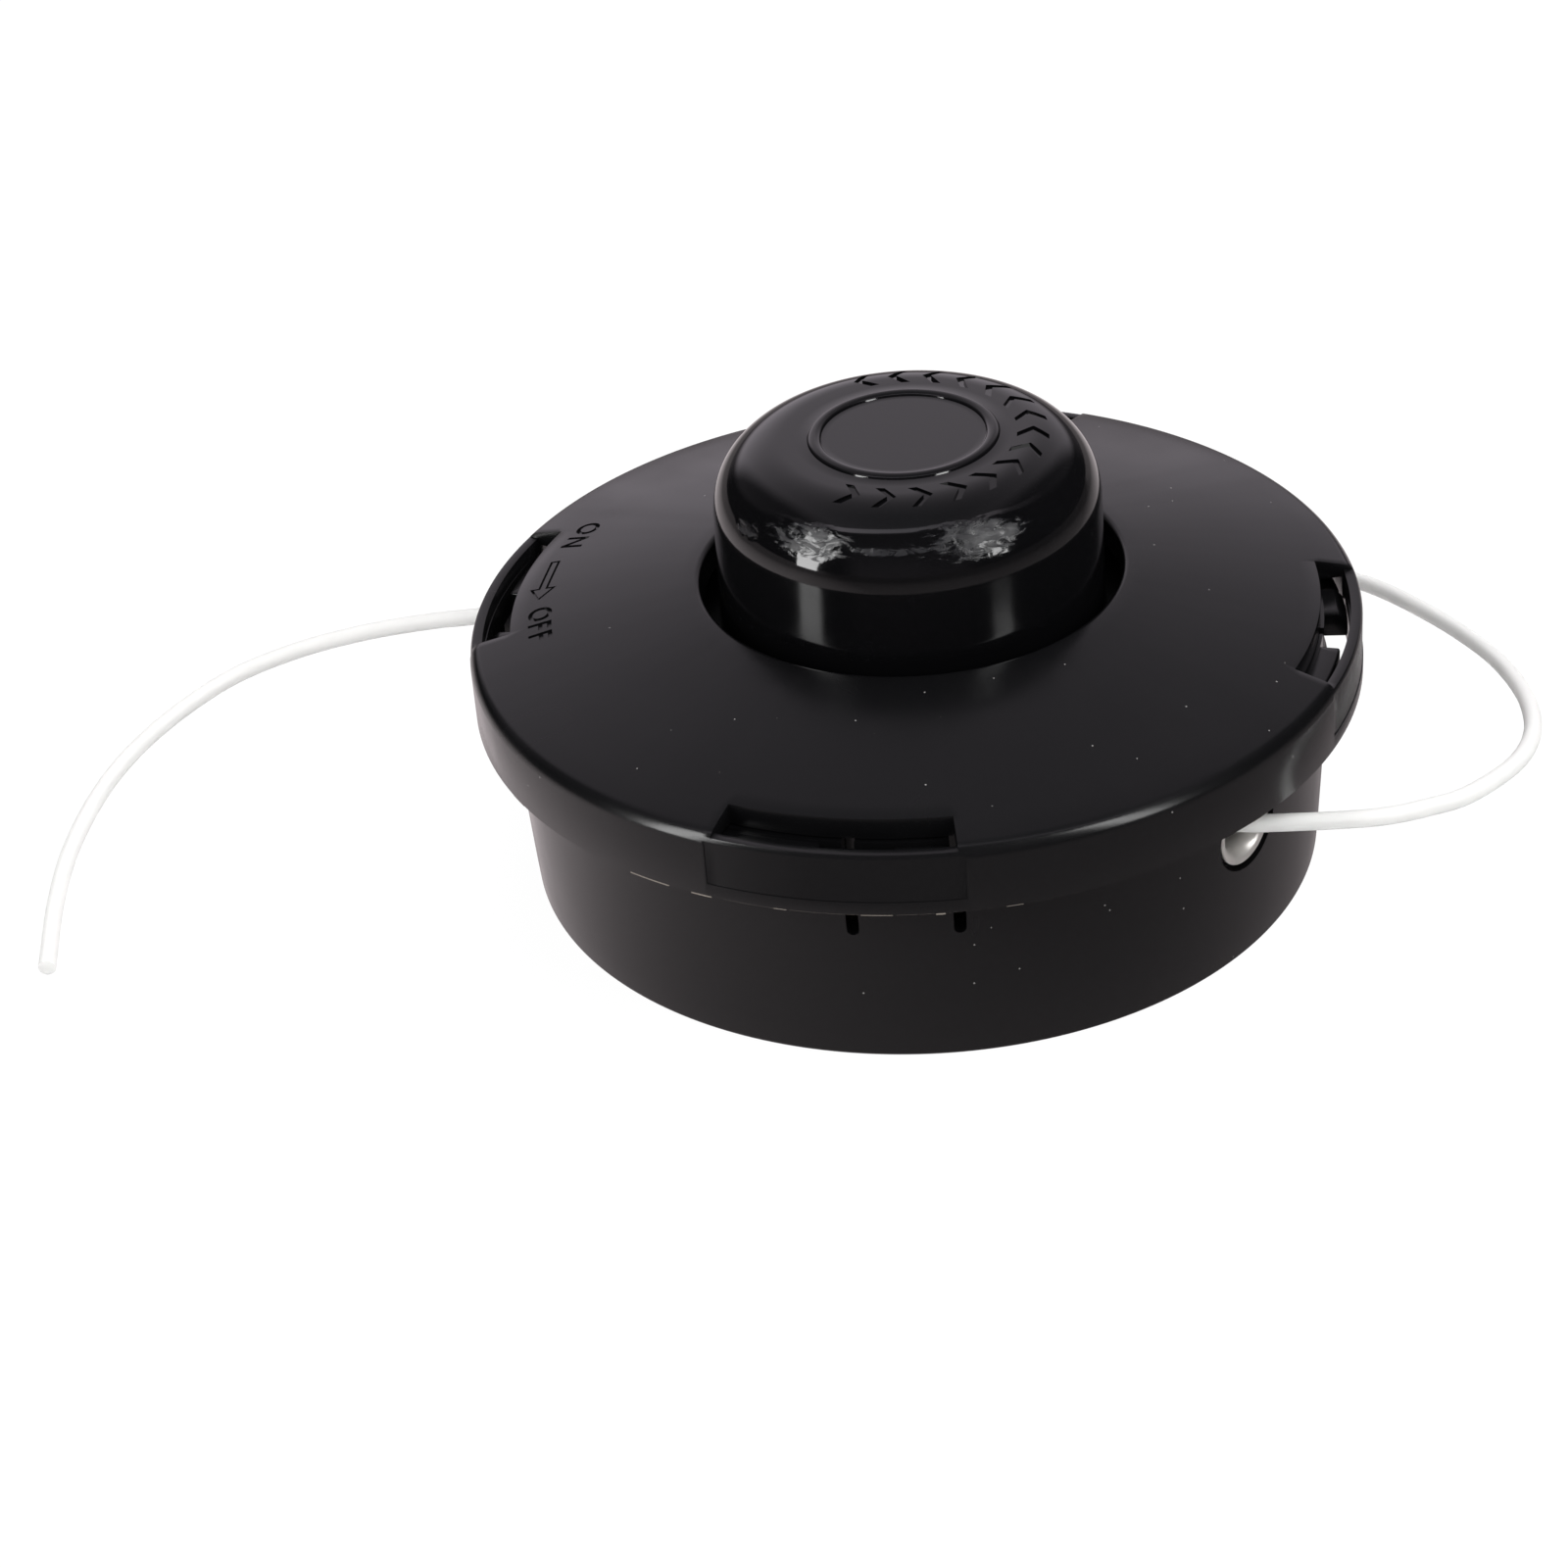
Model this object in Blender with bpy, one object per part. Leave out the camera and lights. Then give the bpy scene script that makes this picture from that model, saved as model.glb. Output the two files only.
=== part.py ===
"""A bump-feed line head for a grass trimmer, standing on its gearbox side.

The origin is on the head's axis, in the plane that it stands on, and +Z points at the bump
knob. The windows of the cover lie on the X and Y axes. Angles are degrees anticlockwise from
+X, seen from the knob. Lengths are metres.
"""

import math

import bmesh
import bpy
from mathutils import Matrix, Vector

MM = 0.001

# Clearances and cutting
GAP = 0.3 * MM  # between two pieces that touch or press on each other
OVERRUN = 1.0 * MM  # how far a cutter runs past the face that it opens
ROOT = 0.6 * MM  # how deep a lug, tooth or boss is rooted in the wall that carries it
MERGE = 0.001 * MM  # points closer than this are one point
TURN_STEPS = 60  # facets round the two casings
INNER_STEPS = 40  # facets round the spool, the knob and the wound line
QUARTERS = (0, 90, 180, 270)

# Cover: the shallow dish that closes the cup, and the widest piece
COVER_RADIUS = 60.0 * MM
COVER_WALL = 1.8 * MM
COVER_EDGE_ROUND = 2.2 * MM
SKIRT_HEIGHT = 9.0 * MM
SEAT_WALL = 1.5 * MM  # thickness over the rim of the housing
DOME_RISE = 6.5 * MM
HOLE_CLEARANCE = 2.55 * MM  # round the bump knob
HOLE_ROUND = 0.7 * MM
HOLE_COLLAR_DEPTH = 4.2 * MM
SPIGOT_WIDTH = 1.7 * MM  # ring that centres the cover inside the housing's rim
SPIGOT_DEPTH = 3.0 * MM
WINDOW_DEGREES = 30.2
WINDOW_DEPTH = 3.9 * MM
WINDOW_WALL_DROP = 0.45 * MM
WINDOW_WALL_RELIEF = 0.2 * MM  # the wall outside a window is this much thinner above the seat
SKIRT_STEP = 0.25 * MM  # beside a window the skirt is this much thinner
SKIRT_STEP_DEGREES = 31.8
SKIRT_STEP_ABOVE = 1.8 * MM

# Bayonet between the housing and the cover, once in each quarter, measured from the window's middle
LUG_REACH = 2.55 * MM
LUG_TO_SKIRT = 0.85 * MM
LUG_THICKNESS = 4.0 * MM
LUG_BELOW_RIM = 0.3 * MM
LUG_CLEARANCE = 0.4 * MM
LUG_FROM, LUG_TO = -16.6, -2.4
LUG_STOP_FROM, LUG_STOP_TO = -16.3, -14.9  # a leg at the lug's closed end
COVER_LUG_FROM, COVER_LUG_TO = -14.4, -1.2
TONGUE_FROM, TONGUE_TO = 1.2, 15.2  # middles of the two slots that free a springy tongue
TONGUE_LENGTH = 13.7 * MM
TONGUE_SLOT_WIDTH = 1.6 * MM
HOOK_FROM, HOOK_TO = 7.2, 14.0  # the nib on the tongue
HOOK_THICKNESS = 2.6 * MM
HOOK_RAMP = 1.4 * MM

# Housing: the deep cup that carries everything else
RIM_STEP = 0.7 * MM  # under the skirt the wall steps in by this
RIM_ABOVE_SPOOL = 2.9 * MM
HOUSING_TAPER = 1.5 * MM  # the outside narrows by this much towards the base
HOUSING_WALL = 2.2 * MM
HOUSING_DRAFT = 0.9 * MM  # the inside narrows by this much towards the floor
HOUSING_BASE_ROUND = 0.6 * MM
FLOOR = 3.0 * MM
FLOOR_ROUND = 1.5 * MM
STEP_BELOW_SKIRT = 0.7 * MM

# Underside of the housing
PAD_RADIUS = 19.0 * MM  # the raised face that meets the gearbox
STAND_WIDTH = 6.5 * MM  # the flat ring that the head stands on
POCKET_DEPTH = 1.3 * MM
POCKETS = 10
RIB_WIDTH = 2.4 * MM

# Steel insert with the left-hand M10 x 1.25 thread, drawn as its plain minor bore
INSERT_ACROSS_FLATS = 17.0 * MM
INSERT_LENGTH = 12.0 * MM
INSERT_RECESS = 0.5 * MM
INSERT_BORE_RADIUS = 4.4 * MM
INSERT_CHAMFER = 0.8 * MM

# Centre post of the housing, which the spool slides and turns on
POST_RADIUS = 10.5 * MM
POST_ABOVE_RIM = 1.2 * MM
POST_CHAMFER = 0.6 * MM
POST_FOOT_RADIUS = 13.0 * MM
FOOT_ABOVE_INSERT = 1.2 * MM
POST_CORE_RADIUS = 6.5 * MM
POST_WEB = 4.0 * MM  # between the shaft's bore and the hollow in the post's top
SHAFT_BORE_RADIUS = 5.4 * MM
SHAFT_BORE_DEPTH = 23.0 * MM

# Bump mechanism: teeth on the spool meet stops on the cover at rest and on the floor when bumped.
# The teeth are so tall that one row takes hold before the other lets go.
BUMP_TRAVEL = 5.0 * MM
BUMP_CLEARANCE = 0.6 * MM
TEETH = 12
TOOTH_HEIGHT = 3.0 * MM
TOOTH_DEGREES = 5.0
TOOTH_WIDTH = 4.5 * MM
TOOTH_CLEARANCE_DEGREES = 0.5
STOP_ANGLE = 45.0

# Spring and its washer
WASHER_THICKNESS = 1.0 * MM
WASHER_CLEARANCE = 0.4 * MM
SPRING_WIRE = 1.8 * MM
SPRING_CLEARANCE = 0.8 * MM  # inside and outside the coils
SPRING_COILS = 4.0  # working coils between the closed ends
SPRING_STEPS = 14

# Cutting line
LINE_DIAMETER = 2.4 * MM
LINE_ROWS = 6
LINE_LAYERS = 4

# Spool
SPOOL_CLEARANCE = 1.5 * MM  # inside the cover's spigot
LOWER_FLANGE = 2.0 * MM
UPPER_FLANGE = 1.8 * MM
HUB_WALL = 2.8 * MM
HUB_WEB = 2.4 * MM
HUB_CAVITY = 12.0 * MM  # depth of the spring's room in the hub
SLEEVE_WALL = 2.4 * MM
SLEEVE_BELOW_POST = 1.0 * MM
NECK_WALL = 2.8 * MM
NECK_ABOVE_HOLE = 2.4 * MM
NECK_CHAMFER = 0.6 * MM
KEEPER_WIDTH = 2.2 * MM  # notches in the upper rim that park the line while it is wound
KEEPER_DEPTH = 5.0 * MM
KEEPER_ANGLES = (10, 190)

# Bump knob
KNOB_RADIUS = 25.75 * MM
KNOB_FLARE = 0.25 * MM  # the side widens by this much towards its lower edge
KNOB_HEIGHT = 19.6 * MM  # above the cover's hole
KNOB_SHOULDER = 9.6 * MM
KNOB_BELOW_HOLE = 8.1 * MM
KNOB_WALL = 2.9 * MM
KNOB_SEAT = 1.3 * MM
RING_RADIUS = 11.75 * MM  # the raised ring on top
RING_WIDTH = 2.1 * MM
RING_HEIGHT = 0.5 * MM
SNAP_ANGLE = 45.0
SNAP_DEGREES = 26.0
SNAP_DEPTH = 1.5 * MM
SNAP_HEIGHT = 2.4 * MM
SNAP_ABOVE_EDGE = 2.6 * MM
SNAP_CLEARANCE_DEGREES = 1.2

# Line eyelets in the housing's wall
EYELET_ANGLES = (-30, 150)
EYELET_ABOVE_CHANNEL = 6.6 * MM  # from the lower end of the line's room to the eyelet's middle
EYELET_BORE_RADIUS = 3.6 * MM
EYELET_WALL = 0.8 * MM
EYELET_RIM = 0.65 * MM
EYELET_STEPS = 20
EYELET_RECESS_DEPTH = 2.0 * MM
EYELET_BOSS_WALL = 1.35 * MM
EYELET_TO_SPOOL = 1.0 * MM

# Free ends of the line
CURVE_STEPS = 20  # fine steps between two points of a route
LINE_POINT_SPACING = 2.8  # diameters between the points of a free end
LINE_A_ROUTE = [
    (3.1, -30.5, 20.2),
    (17.1, -29.1, 20.2),
    (31.1, -27.7, 20.2),
    (45.1, -26.2, 20.2),
    (50.2, -25.4, 20.0),
    (63.0, -21.4, 19.0),
    (70.1, -16.6, 18.0),
    (75.0, -11.8, 17.2),
    (80.3, -2.3, 16.0),
    (82.3, 7.4, 14.8),
    (81.3, 18.1, 13.4),
    (77.8, 29.0, 12.0),
    (72.7, 38.7, 10.6),
    (65.1, 49.7, 8.8),
    (55.8, 60.6, 6.6),
    (43.6, 69.6, 3.9),
    (30.5, 75.0, 1.5),
]
LINE_B_ROUTE = [
    (-3.1, 30.5, 20.2),
    (-17.1, 29.1, 20.2),
    (-31.1, 27.7, 20.2),
    (-45.1, 26.2, 20.2),
    (-50.6, 25.2, 20.0),
    (-60.0, 22.9, 18.9),
    (-69.0, 21.5, 17.6),
    (-75.9, 21.2, 16.6),
    (-85.9, 19.4, 15.2),
    (-95.6, 15.9, 13.6),
    (-104.4, 9.8, 11.8),
    (-111.6, -0.8, 9.6),
    (-115.5, -11.6, 7.4),
    (-116.5, -24.0, 5.2),
    (-115.2, -35.5, 3.2),
    (-112.0, -48.4, 1.4),
]

# Radii that follow from the sizes above, from the outside in
skirt_inner_radius = COVER_RADIUS - COVER_WALL
rim_radius = skirt_inner_radius - LUG_TO_SKIRT - LUG_REACH
rim_inner_radius = rim_radius - HOUSING_WALL
housing_radius = rim_radius + RIM_STEP
base_radius = housing_radius - HOUSING_TAPER
spigot_outer_radius = rim_inner_radius - LUG_CLEARANCE
spigot_inner_radius = spigot_outer_radius - SPIGOT_WIDTH
spool_radius = spigot_inner_radius - SPOOL_CLEARANCE
hole_radius = KNOB_RADIUS + HOLE_CLEARANCE
collar_radius = hole_radius + COVER_WALL
neck_radius = KNOB_RADIUS - KNOB_WALL - GAP
spring_radius = POST_FOOT_RADIUS + SPRING_CLEARANCE + SPRING_WIRE / 2
cavity_radius = spring_radius + SPRING_WIRE / 2 + SPRING_CLEARANCE
hub_radius = cavity_radius + HUB_WALL
tooth_inner_radius = (collar_radius + spool_radius - TOOTH_WIDTH) / 2
tooth_outer_radius = tooth_inner_radius + TOOTH_WIDTH
eyelet_recess_radius = EYELET_BORE_RADIUS + EYELET_WALL + EYELET_RIM + GAP

# Heights that follow, from the floor up
foot_top = INSERT_RECESS + INSERT_LENGTH + GAP + FOOT_ABOVE_INSERT
washer_top = FLOOR + GAP + WASHER_THICKNESS
flange_bottom = FLOOR + BUMP_TRAVEL + BUMP_CLEARANCE + TOOTH_HEIGHT
cavity_top = flange_bottom + HUB_CAVITY
channel_bottom = flange_bottom + LOWER_FLANGE
eyelet_height = channel_bottom + EYELET_ABOVE_CHANNEL
channel_top = channel_bottom + LINE_ROWS * LINE_DIAMETER + 2 * GAP
flange_top = channel_top + UPPER_FLANGE
rim_top = flange_top + RIM_ABOVE_SPOOL
post_top = rim_top + POST_ABOVE_RIM
lug_top = rim_top - LUG_BELOW_RIM
lug_bottom = lug_top - LUG_THICKNESS
seat_z = rim_top + GAP
cover_edge_z = seat_z + SEAT_WALL
skirt_bottom = cover_edge_z - SKIRT_HEIGHT
step_z = skirt_bottom - STEP_BELOW_SKIRT
hole_z = cover_edge_z + DOME_RISE
neck_top = hole_z + NECK_ABOVE_HOLE
knob_bottom = hole_z - KNOB_BELOW_HOLE
knob_top = hole_z + KNOB_HEIGHT
dome_slope = DOME_RISE / (COVER_RADIUS - hole_radius)


def clear_scene():
    for thing in list(bpy.data.objects):
        bpy.data.objects.remove(thing)


def plastic_or_metal(name, colour, roughness, metallic=0.0):
    """A Principled material in one colour."""
    made = bpy.data.materials.new(name)
    made.use_nodes = True
    shader = made.node_tree.nodes["Principled BSDF"]
    shader.inputs["Base Color"].default_value = (*colour, 1.0)
    shader.inputs["Roughness"].default_value = roughness
    shader.inputs["Metallic"].default_value = metallic
    return made


def piece(name, shape, finish, smooth_below=32):
    """An object from a bmesh, shaded smooth but for edges sharper than smooth_below degrees."""
    mesh = bpy.data.meshes.new(name)
    shape.to_mesh(mesh)
    shape.free()
    mesh.shade_smooth()
    mesh.set_sharp_from_angle(angle=math.radians(smooth_below))
    made = bpy.data.objects.new(name, mesh)
    bpy.context.collection.objects.link(made)
    if finish:
        mesh.materials.append(finish)
    return made


def helper(name, shapes):
    """A hidden object that holds several separate shapes, to add to or cut from a piece."""
    together = bmesh.new()
    for shape in shapes:
        part = bpy.data.meshes.new(name)
        shape.to_mesh(part)
        shape.free()
        together.from_mesh(part)
        bpy.data.meshes.remove(part)
    made = piece(name, together, None)
    made.hide_render = True
    made.display_type = "WIRE"
    return made


def combine(target, operation, name, shapes):
    """Adds a live Boolean to target: operation is UNION or DIFFERENCE."""
    change = target.modifiers.new(name, "BOOLEAN")
    change.object = helper(name, shapes)
    change.operation = operation
    change.solver = "EXACT"


def arc(centre_r, centre_z, radius, start, end, steps):
    """Points (r, z) along an arc, from start to end in degrees anticlockwise from +r."""
    turns = [math.radians(start + (end - start) * i / steps) for i in range(steps + 1)]
    return [(centre_r + radius * math.cos(t), centre_z + radius * math.sin(t)) for t in turns]


def turned(profile, steps=TURN_STEPS):
    """A full turn of a profile of (r, z) points about Z. A profile that starts and ends on
    the axis is open there, and any other is closed."""
    shape = bmesh.new()
    corners = [shape.verts.new((r, 0, z)) for r, z in profile]
    edges = [shape.edges.new(pair) for pair in zip(corners, corners[1:])]
    if profile[0][0] > 0 or profile[-1][0] > 0:
        edges.append(shape.edges.new((corners[-1], corners[0])))
    bmesh.ops.spin(
        shape,
        geom=corners + edges,
        axis=(0, 0, 1),
        cent=(0, 0, 0),
        steps=steps,
        angle=math.tau,
        use_merge=True,
    )
    bmesh.ops.remove_doubles(shape, verts=shape.verts, dist=MERGE)
    bmesh.ops.recalc_face_normals(shape, faces=shape.faces)
    return shape


def sector(profile, start, end, steps):
    """Part of a turn of a closed profile of (r, z) points, between two angles in degrees."""
    shape = bmesh.new()
    face = shape.faces.new([shape.verts.new((r, 0, z)) for r, z in profile])
    bmesh.ops.rotate(
        shape, verts=shape.verts, matrix=Matrix.Rotation(math.radians(start), 3, "Z")
    )
    bmesh.ops.spin(
        shape,
        geom=list(face.verts) + list(face.edges) + [face],
        axis=(0, 0, 1),
        cent=(0, 0, 0),
        steps=steps,
        angle=math.radians(end - start),
    )
    bmesh.ops.recalc_face_normals(shape, faces=shape.faces)
    return shape


def block(r_from, r_to, z_from, z_to):
    """The profile of a sector with straight sides."""
    return [(r_from, z_from), (r_to, z_from), (r_to, z_to), (r_from, z_to)]


def prism(outline, depth):
    """An outline of (x, y) points raised along Z from 0 to depth."""
    shape = bmesh.new()
    face = shape.faces.new([shape.verts.new((x, y, 0)) for x, y in outline])
    raised = bmesh.ops.extrude_face_region(shape, geom=[face])
    tops = [v for v in raised["geom"] if isinstance(v, bmesh.types.BMVert)]
    bmesh.ops.translate(shape, verts=tops, vec=(0, 0, depth))
    bmesh.ops.recalc_face_normals(shape, faces=shape.faces)
    return shape


def moved(shape, matrix):
    shape.transform(matrix)
    return shape


def radial(degrees, distance, height):
    """Stands a shape's +Z outwards along a radius, at a distance from the axis and a height."""
    return (
        Matrix.Rotation(math.radians(degrees), 4, "Z")
        @ Matrix.Translation((distance, 0, height))
        @ Matrix.Rotation(math.radians(90), 4, "Y")
    )


def hexagon(across_flats):
    """Six corners with a flat facing +Y."""
    corner = across_flats / 2 / math.cos(math.radians(30))
    turns = [math.radians(60 * i) for i in range(6)]
    return [(corner * math.cos(t), corner * math.sin(t)) for t in turns]


def dome_z(radius):
    """Height of the cover's upper face at a radius."""
    return cover_edge_z + (COVER_RADIUS - radius) * dome_slope


def dome_underside(radius):
    return dome_z(radius) - COVER_WALL


def housing_outside(height):
    """Radius of the cup's outer wall at a height below its step."""
    return base_radius + HOUSING_TAPER * height / step_z


def housing_profile():
    floor_radius = rim_inner_radius - HOUSING_DRAFT
    base_arc = arc(
        base_radius - HOUSING_BASE_ROUND, HOUSING_BASE_ROUND, HOUSING_BASE_ROUND, -90, 0, 2
    )
    floor_arc = arc(floor_radius - FLOOR_ROUND, FLOOR + FLOOR_ROUND, FLOOR_ROUND, 0, -90, 2)
    return (
        [(0, SHAFT_BORE_DEPTH), (SHAFT_BORE_RADIUS, SHAFT_BORE_DEPTH), (SHAFT_BORE_RADIUS, 0)]
        + base_arc
        + [
            (housing_radius, step_z),
            (rim_radius, step_z + RIM_STEP),
            (rim_radius, rim_top),
            (rim_inner_radius, rim_top),
        ]
        + floor_arc
        + [
            (POST_FOOT_RADIUS, FLOOR),
            (POST_FOOT_RADIUS, foot_top - POST_CHAMFER),
            (POST_FOOT_RADIUS - POST_CHAMFER, foot_top),
            (POST_RADIUS, foot_top),
            (POST_RADIUS, post_top - POST_CHAMFER),
            (POST_RADIUS - POST_CHAMFER, post_top),
            (POST_CORE_RADIUS, post_top),
            (POST_CORE_RADIUS, SHAFT_BORE_DEPTH + POST_WEB),
            (0, SHAFT_BORE_DEPTH + POST_WEB),
        ]
    )


def bayonet_lugs(window):
    """The fixed lug and the nib of the springy tongue, at one window."""
    inner = rim_radius - ROOT
    outer = rim_radius + LUG_REACH
    lug = block(inner, outer, lug_bottom, lug_top)
    hook_top = lug_bottom + HOOK_THICKNESS
    hook = [
        (inner, lug_bottom),
        (outer, lug_bottom),
        (outer, hook_top - HOOK_RAMP),
        (outer - HOOK_RAMP, hook_top),
        (inner, hook_top),
    ]
    return [
        sector(lug, window + LUG_FROM, window + LUG_TO, 3),
        sector(hook, window + HOOK_FROM, window + HOOK_TO, 2),
    ]


def lug_stop(window):
    """The leg at the closed end of a fixed lug, which stops the cover when it is locked."""
    inner = rim_radius - ROOT
    outer = rim_radius + LUG_REACH - GAP
    start, end = window + LUG_STOP_FROM, window + LUG_STOP_TO
    profile = block(inner, outer, skirt_bottom + GAP, lug_bottom + ROOT)
    return sector(profile, start, end, 1)


def tongue_slot(angle):
    """A slot through the rim with a round floor, open at the top."""
    half = TONGUE_SLOT_WIDTH / 2
    low = [(-z, y) for y, z in arc(0, 0, half, 180, 360, 4)]
    rise = TONGUE_LENGTH - half + OVERRUN
    outline = [(-rise, -half)] + low + [(-rise, half)]
    inner = rim_inner_radius - HOUSING_DRAFT - OVERRUN
    return moved(prism(outline, COVER_RADIUS - inner), radial(angle, inner, rim_top + OVERRUN - rise))


def floor_stop(angle):
    """A block on the floor that reaches up between two lower teeth once the spool is bumped."""
    half = TOOTH_DEGREES / 2
    top = flange_bottom - BUMP_TRAVEL - BUMP_CLEARANCE
    profile = block(tooth_inner_radius, tooth_outer_radius, FLOOR - ROOT, top)
    return sector(profile, angle - half, angle + half, 1)


def underside_pockets():
    """Shallow pockets that leave a ring to stand on, a pad in the middle and spokes between."""
    inner = PAD_RADIUS
    outer = base_radius - STAND_WIDTH
    pitch = 360 / POCKETS
    rib = math.degrees(RIB_WIDTH / ((inner + outer) / 2))
    profile = block(inner, outer, -OVERRUN, POCKET_DEPTH)
    return [
        sector(profile, pitch * i + rib / 2, pitch * (i + 1) - rib / 2, 5)
        for i in range(POCKETS)
    ]


def eyelet_seat(angle):
    """The stepped bore for an eyelet: a wide recess from outside and a bore right through."""
    outside = housing_outside(eyelet_height)
    recess_floor = outside - EYELET_RECESS_DEPTH
    inner = spool_radius
    bore = EYELET_BORE_RADIUS + EYELET_WALL + GAP
    profile = [
        (0, inner),
        (bore, inner),
        (bore, recess_floor),
        (eyelet_recess_radius, recess_floor),
        (eyelet_recess_radius, outside + OVERRUN),
        (0, outside + OVERRUN),
    ]
    return moved(turned(profile, EYELET_STEPS), radial(angle, 0, eyelet_height))


def eyelet_boss(angle):
    inner = spool_radius + EYELET_TO_SPOOL
    outer = rim_inner_radius + ROOT
    width = eyelet_recess_radius + EYELET_BOSS_WALL
    profile = [(0, inner), (width, inner), (width, outer), (0, outer)]
    return moved(turned(profile, EYELET_STEPS), radial(angle, 0, eyelet_height))


def make_housing(finish):
    housing = piece("housing", turned(housing_profile()), finish)
    lugs = [lug for window in QUARTERS for lug in bayonet_lugs(window)]
    bosses = [eyelet_boss(angle) for angle in EYELET_ANGLES]
    stops = [floor_stop(quarter + STOP_ANGLE) for quarter in QUARTERS]
    combine(housing, "UNION", "housing_additions", lugs + bosses + stops)
    combine(housing, "UNION", "lug_stops", [lug_stop(window) for window in QUARTERS])
    slots = [
        tongue_slot(window + side) for window in QUARTERS for side in (TONGUE_FROM, TONGUE_TO)
    ]
    seats = [eyelet_seat(angle) for angle in EYELET_ANGLES]
    pocket_depth = OVERRUN + INSERT_RECESS + INSERT_LENGTH + GAP
    insert_pocket = moved(
        prism(hexagon(INSERT_ACROSS_FLATS + 2 * GAP), pocket_depth),
        Matrix.Translation((0, 0, -OVERRUN)),
    )
    cuts = slots + seats + underside_pockets() + [insert_pocket]
    combine(housing, "DIFFERENCE", "housing_cuts", cuts)
    return housing


def make_arbor_insert(finish):
    """A hexagon with a plain bore, countersunk at the end where the shaft comes in."""
    insert = piece("arbor_insert", prism(hexagon(INSERT_ACROSS_FLATS), INSERT_LENGTH), finish)
    insert.location = (0, 0, INSERT_RECESS)
    mouth = INSERT_BORE_RADIUS + INSERT_CHAMFER
    bore = [
        (0, INSERT_RECESS - OVERRUN),
        (mouth, INSERT_RECESS - OVERRUN),
        (mouth, INSERT_RECESS),
        (INSERT_BORE_RADIUS, INSERT_RECESS + INSERT_CHAMFER),
        (INSERT_BORE_RADIUS, INSERT_RECESS + INSERT_LENGTH + OVERRUN),
        (0, INSERT_RECESS + INSERT_LENGTH + OVERRUN),
    ]
    combine(insert, "DIFFERENCE", "insert_bore", [turned(bore, EYELET_STEPS)])
    return insert


def make_eyelet(name, angle, finish):
    """A steel sleeve with a rolled rim that sits on the floor of its recess."""
    rim_back = housing_outside(eyelet_height) - EYELET_RECESS_DEPTH + GAP
    inner_end = spool_radius + EYELET_TO_SPOOL
    sleeve = EYELET_BORE_RADIUS + EYELET_WALL
    rim_middle = rim_back + EYELET_RIM
    rim = arc(sleeve, rim_middle, EYELET_RIM, -90, 90, 4)
    mouth = arc(sleeve, rim_middle, sleeve - EYELET_BORE_RADIUS, 90, 180, 3)
    profile = (
        [(EYELET_BORE_RADIUS, inner_end), (sleeve, inner_end), (sleeve, rim_back)]
        + rim[1:]
        + mouth[1:]
    )
    eyelet = piece(name, turned(profile, EYELET_STEPS), finish, smooth_below=50)
    eyelet.location = (0, 0, eyelet_height)
    eyelet.rotation_euler = (0, math.radians(90), math.radians(angle))
    return eyelet


def cover_profile():
    """Section of the dish: dome, rounded edge, skirt, seat on the rim, spigot and collar."""
    tilt = math.degrees(math.atan(dome_slope))
    edge_back = COVER_EDGE_ROUND * math.tan(math.radians((90 - tilt) / 2))
    edge = arc(
        COVER_RADIUS - COVER_EDGE_ROUND, cover_edge_z - edge_back, COVER_EDGE_ROUND, 90 - tilt, 0, 3
    )
    hole_back = HOLE_ROUND * math.tan(math.radians((90 + tilt) / 2))
    hole = arc(
        hole_radius + HOLE_ROUND, hole_z - hole_back, HOLE_ROUND, 180, 90 - tilt, 2
    )
    collar_bottom = hole_z - HOLE_COLLAR_DEPTH
    return (
        [(hole_radius, collar_bottom)]
        + hole
        + edge
        + [
            (COVER_RADIUS, skirt_bottom),
            (skirt_inner_radius, skirt_bottom),
            (skirt_inner_radius, seat_z),
            (spigot_outer_radius, seat_z),
            (spigot_outer_radius, seat_z - SPIGOT_DEPTH),
            (spigot_inner_radius, seat_z - SPIGOT_DEPTH),
            (spigot_inner_radius, dome_underside(spigot_inner_radius)),
            (collar_radius, dome_underside(collar_radius)),
            (collar_radius, collar_bottom),
        ]
    )


def cover_lug(window):
    inner = rim_radius + LUG_CLEARANCE
    profile = block(
        inner, skirt_inner_radius + ROOT, skirt_bottom, lug_bottom - LUG_CLEARANCE
    )
    return sector(profile, window + COVER_LUG_FROM, window + COVER_LUG_TO, 3)


def cover_stop(angle):
    """A rib under the dome that reaches down between two teeth of the spool."""
    half = TOOTH_DEGREES / 2
    top = dome_underside(tooth_outer_radius) + ROOT
    profile = block(tooth_inner_radius, tooth_outer_radius, flange_top + GAP, top)
    return sector(profile, angle - half, angle + half, 1)


def window_cut(window):
    """The window itself, and the flat top of the wall outside it."""
    half = WINDOW_DEGREES / 2
    inner = skirt_inner_radius - WINDOW_DEPTH
    outer = skirt_inner_radius + WINDOW_WALL_RELIEF
    wall_top = cover_edge_z - WINDOW_WALL_DROP
    profile = [
        (inner, seat_z - OVERRUN),
        (outer, seat_z - OVERRUN),
        (outer, wall_top),
        (COVER_RADIUS + OVERRUN, wall_top),
        (COVER_RADIUS + OVERRUN, hole_z),
        (inner, hole_z),
    ]
    return sector(profile, window - half, window + half, 6)


def skirt_step(window):
    """A shallow panel sunk in the outside of the skirt, a little wider than the window."""
    half = SKIRT_STEP_DEGREES / 2
    profile = block(
        COVER_RADIUS - SKIRT_STEP, COVER_RADIUS + OVERRUN, skirt_bottom + SKIRT_STEP_ABOVE, hole_z
    )
    return sector(profile, window - half, window + half, 8)


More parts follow.
